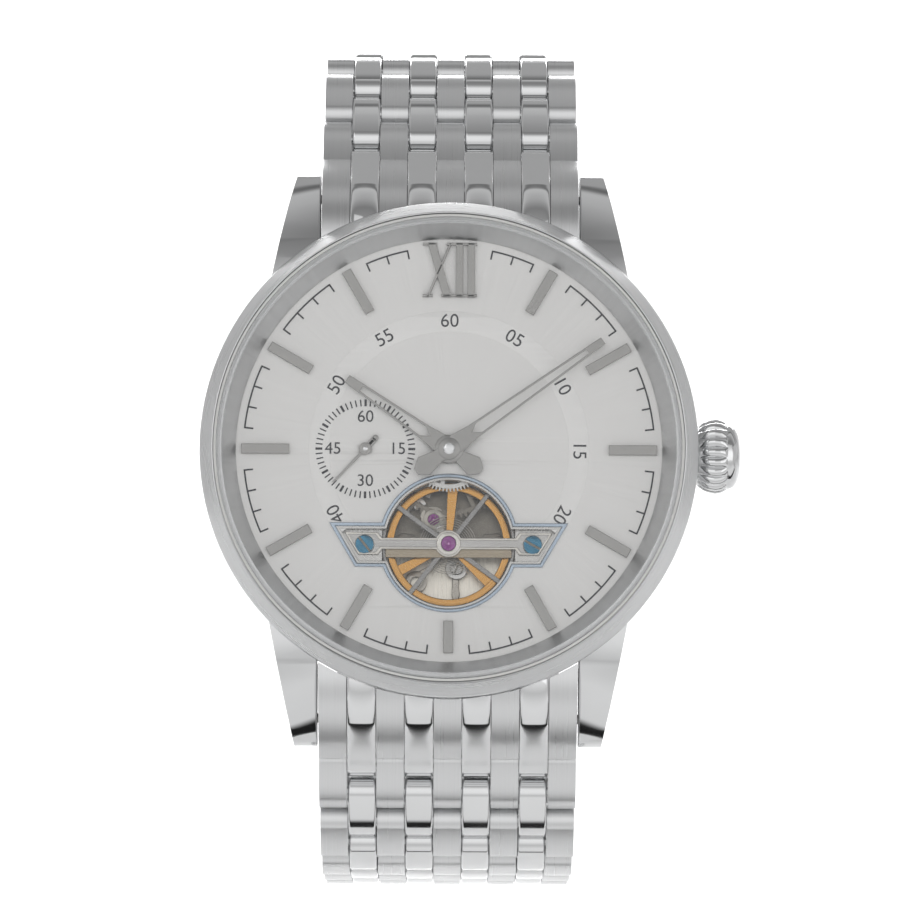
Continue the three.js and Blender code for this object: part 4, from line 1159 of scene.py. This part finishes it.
def make_end_links():
    for side in (12, 6):
        direction = SLOPES[side]["direction"]
        top = smooth([
            (17.2, 7.75), (19.2, 7.6), (20.7, 7.15), (22.0, 6.4), (23.3, 5.3), (24.5, 3.95), (25.62, 2.2),
        ])
        under = [(24.6, 1.75), (23.85, 0.9), (23.7, -0.2), (23.9, -0.9), (22.6, -0.9), (20, 0.9), (17.2, 1.9)]
        plain = top + under
        nose_top = smooth([
            (17.2, 8.1), (19.2, 7.98), (20.7, 7.58), (22.0, 6.85), (22.8, 6.22), (23.3, 5.7), (24.5, 4.15),
            (25.7, 2.55), (26.6, 1.3), (26.9, 0.4),
        ])
        nose_end = arc(LINK_RADIUS, 10, -95, (25.5, 0.1), 7)
        nose = nose_top + nose_end + [(23.9, -1.1), (22.6, -0.9), (20, 0.9), (17.2, 1.9)]
        tool_profile = [(0.0, -3), (21.04, -3), (21.04, 12), (0.0, 12)]
        for brushed in (True, False):
            columns = []
            for column in range(0 if brushed else 1, COLUMNS, 2):
                x = -HALF_WIDTH + COLUMN_WIDTH * (column + 0.5)
                half = COLUMN_WIDTH / 2 - 0.02
                if brushed:
                    outline = [(y * direction, z) for y, z in plain]
                    columns.append(across(outline, x - half, x + half, 0.06, 3))
                else:
                    columns.append(crowned(nose, x - half, x + half, 0.42, direction))
            block = cut_away(merged("end_link", columns), [turned(tool_profile, segments=200)])
            look = "link_brushed" if brushed else "link_polished"
            label = "body" if brushed else "flutes"
            add_piece(f"end_link_{side}_{label}", block, look, CASE, [f"end_link_{side}"] if brushed else [])
        bar = circle(0.75, (22.2 * direction, 2.2), 24)
        tip = circle(0.4, (22.2 * direction, 2.2), 20)
        rods = [across(bar, -10.8, 10.8, 0.08, 1), across(tip, -11.9, 11.9, 0.05, 1)]
        add_piece(f"spring_bar_{side}_rod", merged("rod", rods), "hand", CASE, [f"spring_bar_{side}"])


# ------------------------------------------------------------------ clasp

def box_of(node):
    low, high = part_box(node)
    corners = [to_watch(low), to_watch(high)]
    return [tuple(f(a, b) for a, b in zip(*corners)) for f in (min, max)]


def rounded(y1, z1, y2, z2, radius, steps=6):
    """A rectangle with round corners."""
    near_y, far_y, near_z, far_z = y1 + radius, y2 - radius, z1 + radius, z2 - radius
    corners = ((far_y, near_z, -90), (far_y, far_z, 0), (near_y, far_z, 90), (near_y, near_z, 180))
    outline = []
    for y, z, start in corners:
        outline += arc(radius, start, start + 90, (y, z), steps)
    return outline


def make_clasp():
    (_, y1, z1), (_, y2, z2) = box_of("clasp_cover")
    half = 10.6
    from_y = y1 + 3.2
    shell = rounded(from_y, z1, y2, z1 + 1.0, 0.35)
    parts = [across(shell, -half, half, 0.12, 2)]
    middle = (from_y + y2) / 2
    for side in (1, -1):
        wall = rounded(from_y, z1, y2, z2 - 0.05, 0.5)
        low, high = (half - 0.9, half) if side > 0 else (-half, -half + 0.9)
        block = across(wall, low, high, 0.12, 2)
        slot = across(rounded(middle - 1.7, z1 + 1.75, middle + 1.7, z1 + 3.65, 0.3), low - 1, high + 1)
        parts.append(cut_away(block, [slot]))
    parts.append(across(rounded(from_y, z1, from_y + 0.9, z2 - 0.1, 0.2), -half, half, 0.1, 2))
    knuckle_half = HALF_WIDTH - NARROWING
    width = 2 * knuckle_half / COLUMNS
    ky, kz = joint_place("clasp_open")
    tongue = arc(LINK_RADIUS, 90, 270, (ky, kz), 16) + [(from_y + 0.4, kz - 1.42), (from_y + 0.4, kz + 1.2)]
    for column in range(1, COLUMNS, 2):
        x = -knuckle_half + width * (column + 0.5)
        parts.append(across(tongue, x - width / 2 + 0.03, x + width / 2 - 0.03, 0.12, 2))
    add_piece("clasp_shell", merged("clasp", parts), "link_brushed", "cover", ["clasp_cover"])
    for i, share in enumerate((0.25, 0.75)):
        x = -half + 2 * half * share
        ridge = rounded(from_y + 0.5, z1 - 0.12, y2 - 0.5, z1 + 0.3, 0.1)
        add_piece(f"clasp_ridge_{i + 1}", across(ridge, x - 0.35, x + 0.35, 0.1, 2), "polished", "cover")
    for node, body in (("clasp_blade_outer", "blade_outer"), ("clasp_blade_inner", "blade_inner")):
        make_blade(node, body)
    for label in ("left", "right"):
        make_button(label)


def make_blade(node, body):
    """A sprung blade: a thin plate with two long windows and rolled ends."""
    (_, y1, z1), (_, y2, z2) = box_of(node)
    outer = node.endswith("outer")
    sheet_low = z1 + 0.25 if outer else z2 - 0.7
    fold_y, fold_z = joint_place("clasp_inner_blade_fold")
    start = fold_y
    half = 8.2

    def flat(y, x, z):
        return to_row(x, y, z)

    end = y2 - 0.35 if outer else y2
    sheet = [(start, -half), (end, -half), (end, half), (start, half)]
    windows = [
        [(start + 2.2, -half + 1.6), (end - 2.2, -half + 1.6), (end - 2.2, -1.4), (start + 2.2, -1.4)],
        [(start + 2.2, 1.4), (end - 2.2, 1.4), (end - 2.2, half - 1.6), (start + 2.2, half - 1.6)],
    ]
    parts = [extruded([sheet] + windows, sheet_low, sheet_low + 0.7, 0.1, flat)]
    spans = ((-3.0, 3.0),) if outer else ((-8.0, -3.15), (3.15, 8.0))
    for low, high in spans:
        parts.append(across(circle(0.6, (fold_y, fold_z), 32), low, high, 0.06, 1))
    if outer:
        parts.append(across(circle(0.36, joint_place("clasp_outer_blade_fold"), 24), -10.3, 10.3, 0.04, 1))
        parts.append(across(rounded(fold_y - 0.5, sheet_low + 0.1, fold_y + 0.5, fold_z, 0.1), -3, 3))
    add_piece(node + "_sheet", merged(node, parts), "polished", body, [node])


def make_button(label):
    node = f"clasp_button_{label}"
    (x1, y1, z1), (x2, y2, z2) = box_of(node)
    block = across(rounded(y1, z1, y2, z2, 0.35), x1, x2, 0.18, 3)
    add_piece(f"push_button_{label}", block, "polished", f"button_{label}", [node])


make_case()
make_bezel_and_glass()
make_case_back()
make_dial()
make_hands()
make_balance_bridge()
make_guard()
make_balance()
make_heart_furniture()
make_train()
make_plates()
make_back_bridges()
make_winding()
make_rotor()
make_crown()
make_bracelet()
make_end_links()
make_clasp()

CARRIED = {"pallet_fork": "spider"}
for node, look in CARRIED.items():
    materials = frame["nodes"][node].data.materials
    materials.clear()
    materials.append(LOOK[look])


# ------------------------------------------------------------------ room and light

def make_floor():
    data = bpy.data.meshes.new("floor")
    half, back, low, high, bend = 3.0, 1.6, -0.16, 2.5, 0.6
    curve = [(0.02, low)] + arc(bend, -90, 0, (back - bend, low + bend), 12) + [(back, high)]
    points = [(x, y, z) for y, z in curve for x in (-half, half)]
    faces = [(2 * i, 2 * i + 1, 2 * i + 3, 2 * i + 2) for i in range(len(curve) - 1)]
    data.from_pydata(points, [], faces)
    for polygon in data.polygons:
        polygon.use_smooth = True
    floor = shown("floor", data)
    paper = make_plain("floor_paper", (0.93, 0.93, 0.93), 0.9, 0.005, 20)
    data.materials.append(paper)
    for label, x in (("left", -half), ("right", half)):
        sheet = bpy.data.meshes.new(f"screen_{label}")
        corners = [(x, -1.6, -1.4), (x, 1.6, -1.4), (x, 1.6, 1.4), (x, -1.6, 1.4)]
        sheet.from_pydata(corners, [], [(0, 1, 2, 3)])
        sheet.materials.append(paper)
        screen = shown(f"screen_{label}", sheet)


def make_light(name, place, size, power, target=(0, 0.01, 0)):
    data = bpy.data.lights.new(name, "AREA")
    data.shape = "RECTANGLE"
    data.size, data.size_y = size
    data.energy = power
    light = shown(name, data)
    light.location = place
    light.rotation_euler = (Vector(target) - Vector(place)).to_track_quat("-Z", "Y").to_euler()


# How bright the room is by the angle in the watch's side view, in degrees: 0 is the room in front
# of the dial, 90 is overhead, -90 is underfoot. Strips like these are what polished steel mirrors.
ROOM = (
    (-180, 0.62), (-102, 0.8), (-98, 0.02), (-88, 0.02), (-83, 0.95), (-60, 1.0), (-36, 0.72), (-15, 1.1),
    (0, 1.15), (12, 1.1), (22, 0.7), (34, 0.38), (54, 0.28), (66, 0.42), (78, 0.62), (88, 0.7), (92, 0.2),
    (95, 0.2), (99, 0.5), (140, 0.5), (180, 0.62),
)


def make_world():
    world = bpy.data.worlds.new("studio")
    world.use_nodes = True
    tree = world.node_tree
    background = tree.nodes["Background"]
    coordinates = tree.nodes.new("ShaderNodeTexCoord")
    parts = tree.nodes.new("ShaderNodeSeparateXYZ")
    front = tree.nodes.new("ShaderNodeMath")
    front.operation = "MULTIPLY"
    front.inputs[1].default_value = -1
    angle = tree.nodes.new("ShaderNodeMath")
    angle.operation = "ARCTAN2"
    share = tree.nodes.new("ShaderNodeMapRange")
    share.inputs["From Min"].default_value = -math.pi
    share.inputs["From Max"].default_value = math.pi
    ramp = tree.nodes.new("ShaderNodeValToRGB")
    elements = ramp.color_ramp.elements
    while len(elements) < len(ROOM):
        elements.new(0.5)
    for element, (degrees, value) in zip(elements, ROOM):
        element.position = degrees / 360 + 0.5
        element.color = (value, value, value, 1)
    tree.links.new(coordinates.outputs["Generated"], parts.inputs[0])
    tree.links.new(parts.outputs["Y"], front.inputs[0])
    tree.links.new(parts.outputs["Z"], angle.inputs[0])
    tree.links.new(front.outputs[0], angle.inputs[1])
    tree.links.new(angle.outputs[0], share.inputs["Value"])
    tree.links.new(share.outputs[0], ramp.inputs["Fac"])
    tree.links.new(ramp.outputs["Color"], background.inputs["Color"])
    background.inputs["Strength"].default_value = 0.85
    bpy.context.scene.world = world


make_floor()
make_world()
make_light("key", (-0.35, -0.75, 0.35), (0.5, 0.5), 0.35)
make_light("fill", (0.6, -0.7, 0.1), (0.5, 0.8), 0.4)
make_light("backdrop", (0.0, 1.15, 1.2), (1.6, 0.4), 20, (0, 1.6, 0.1))
make_light("back", (0.1, 0.8, 0.5), (0.9, 0.6), 0.5)

bpy.context.scene.view_settings.view_transform = "Standard"
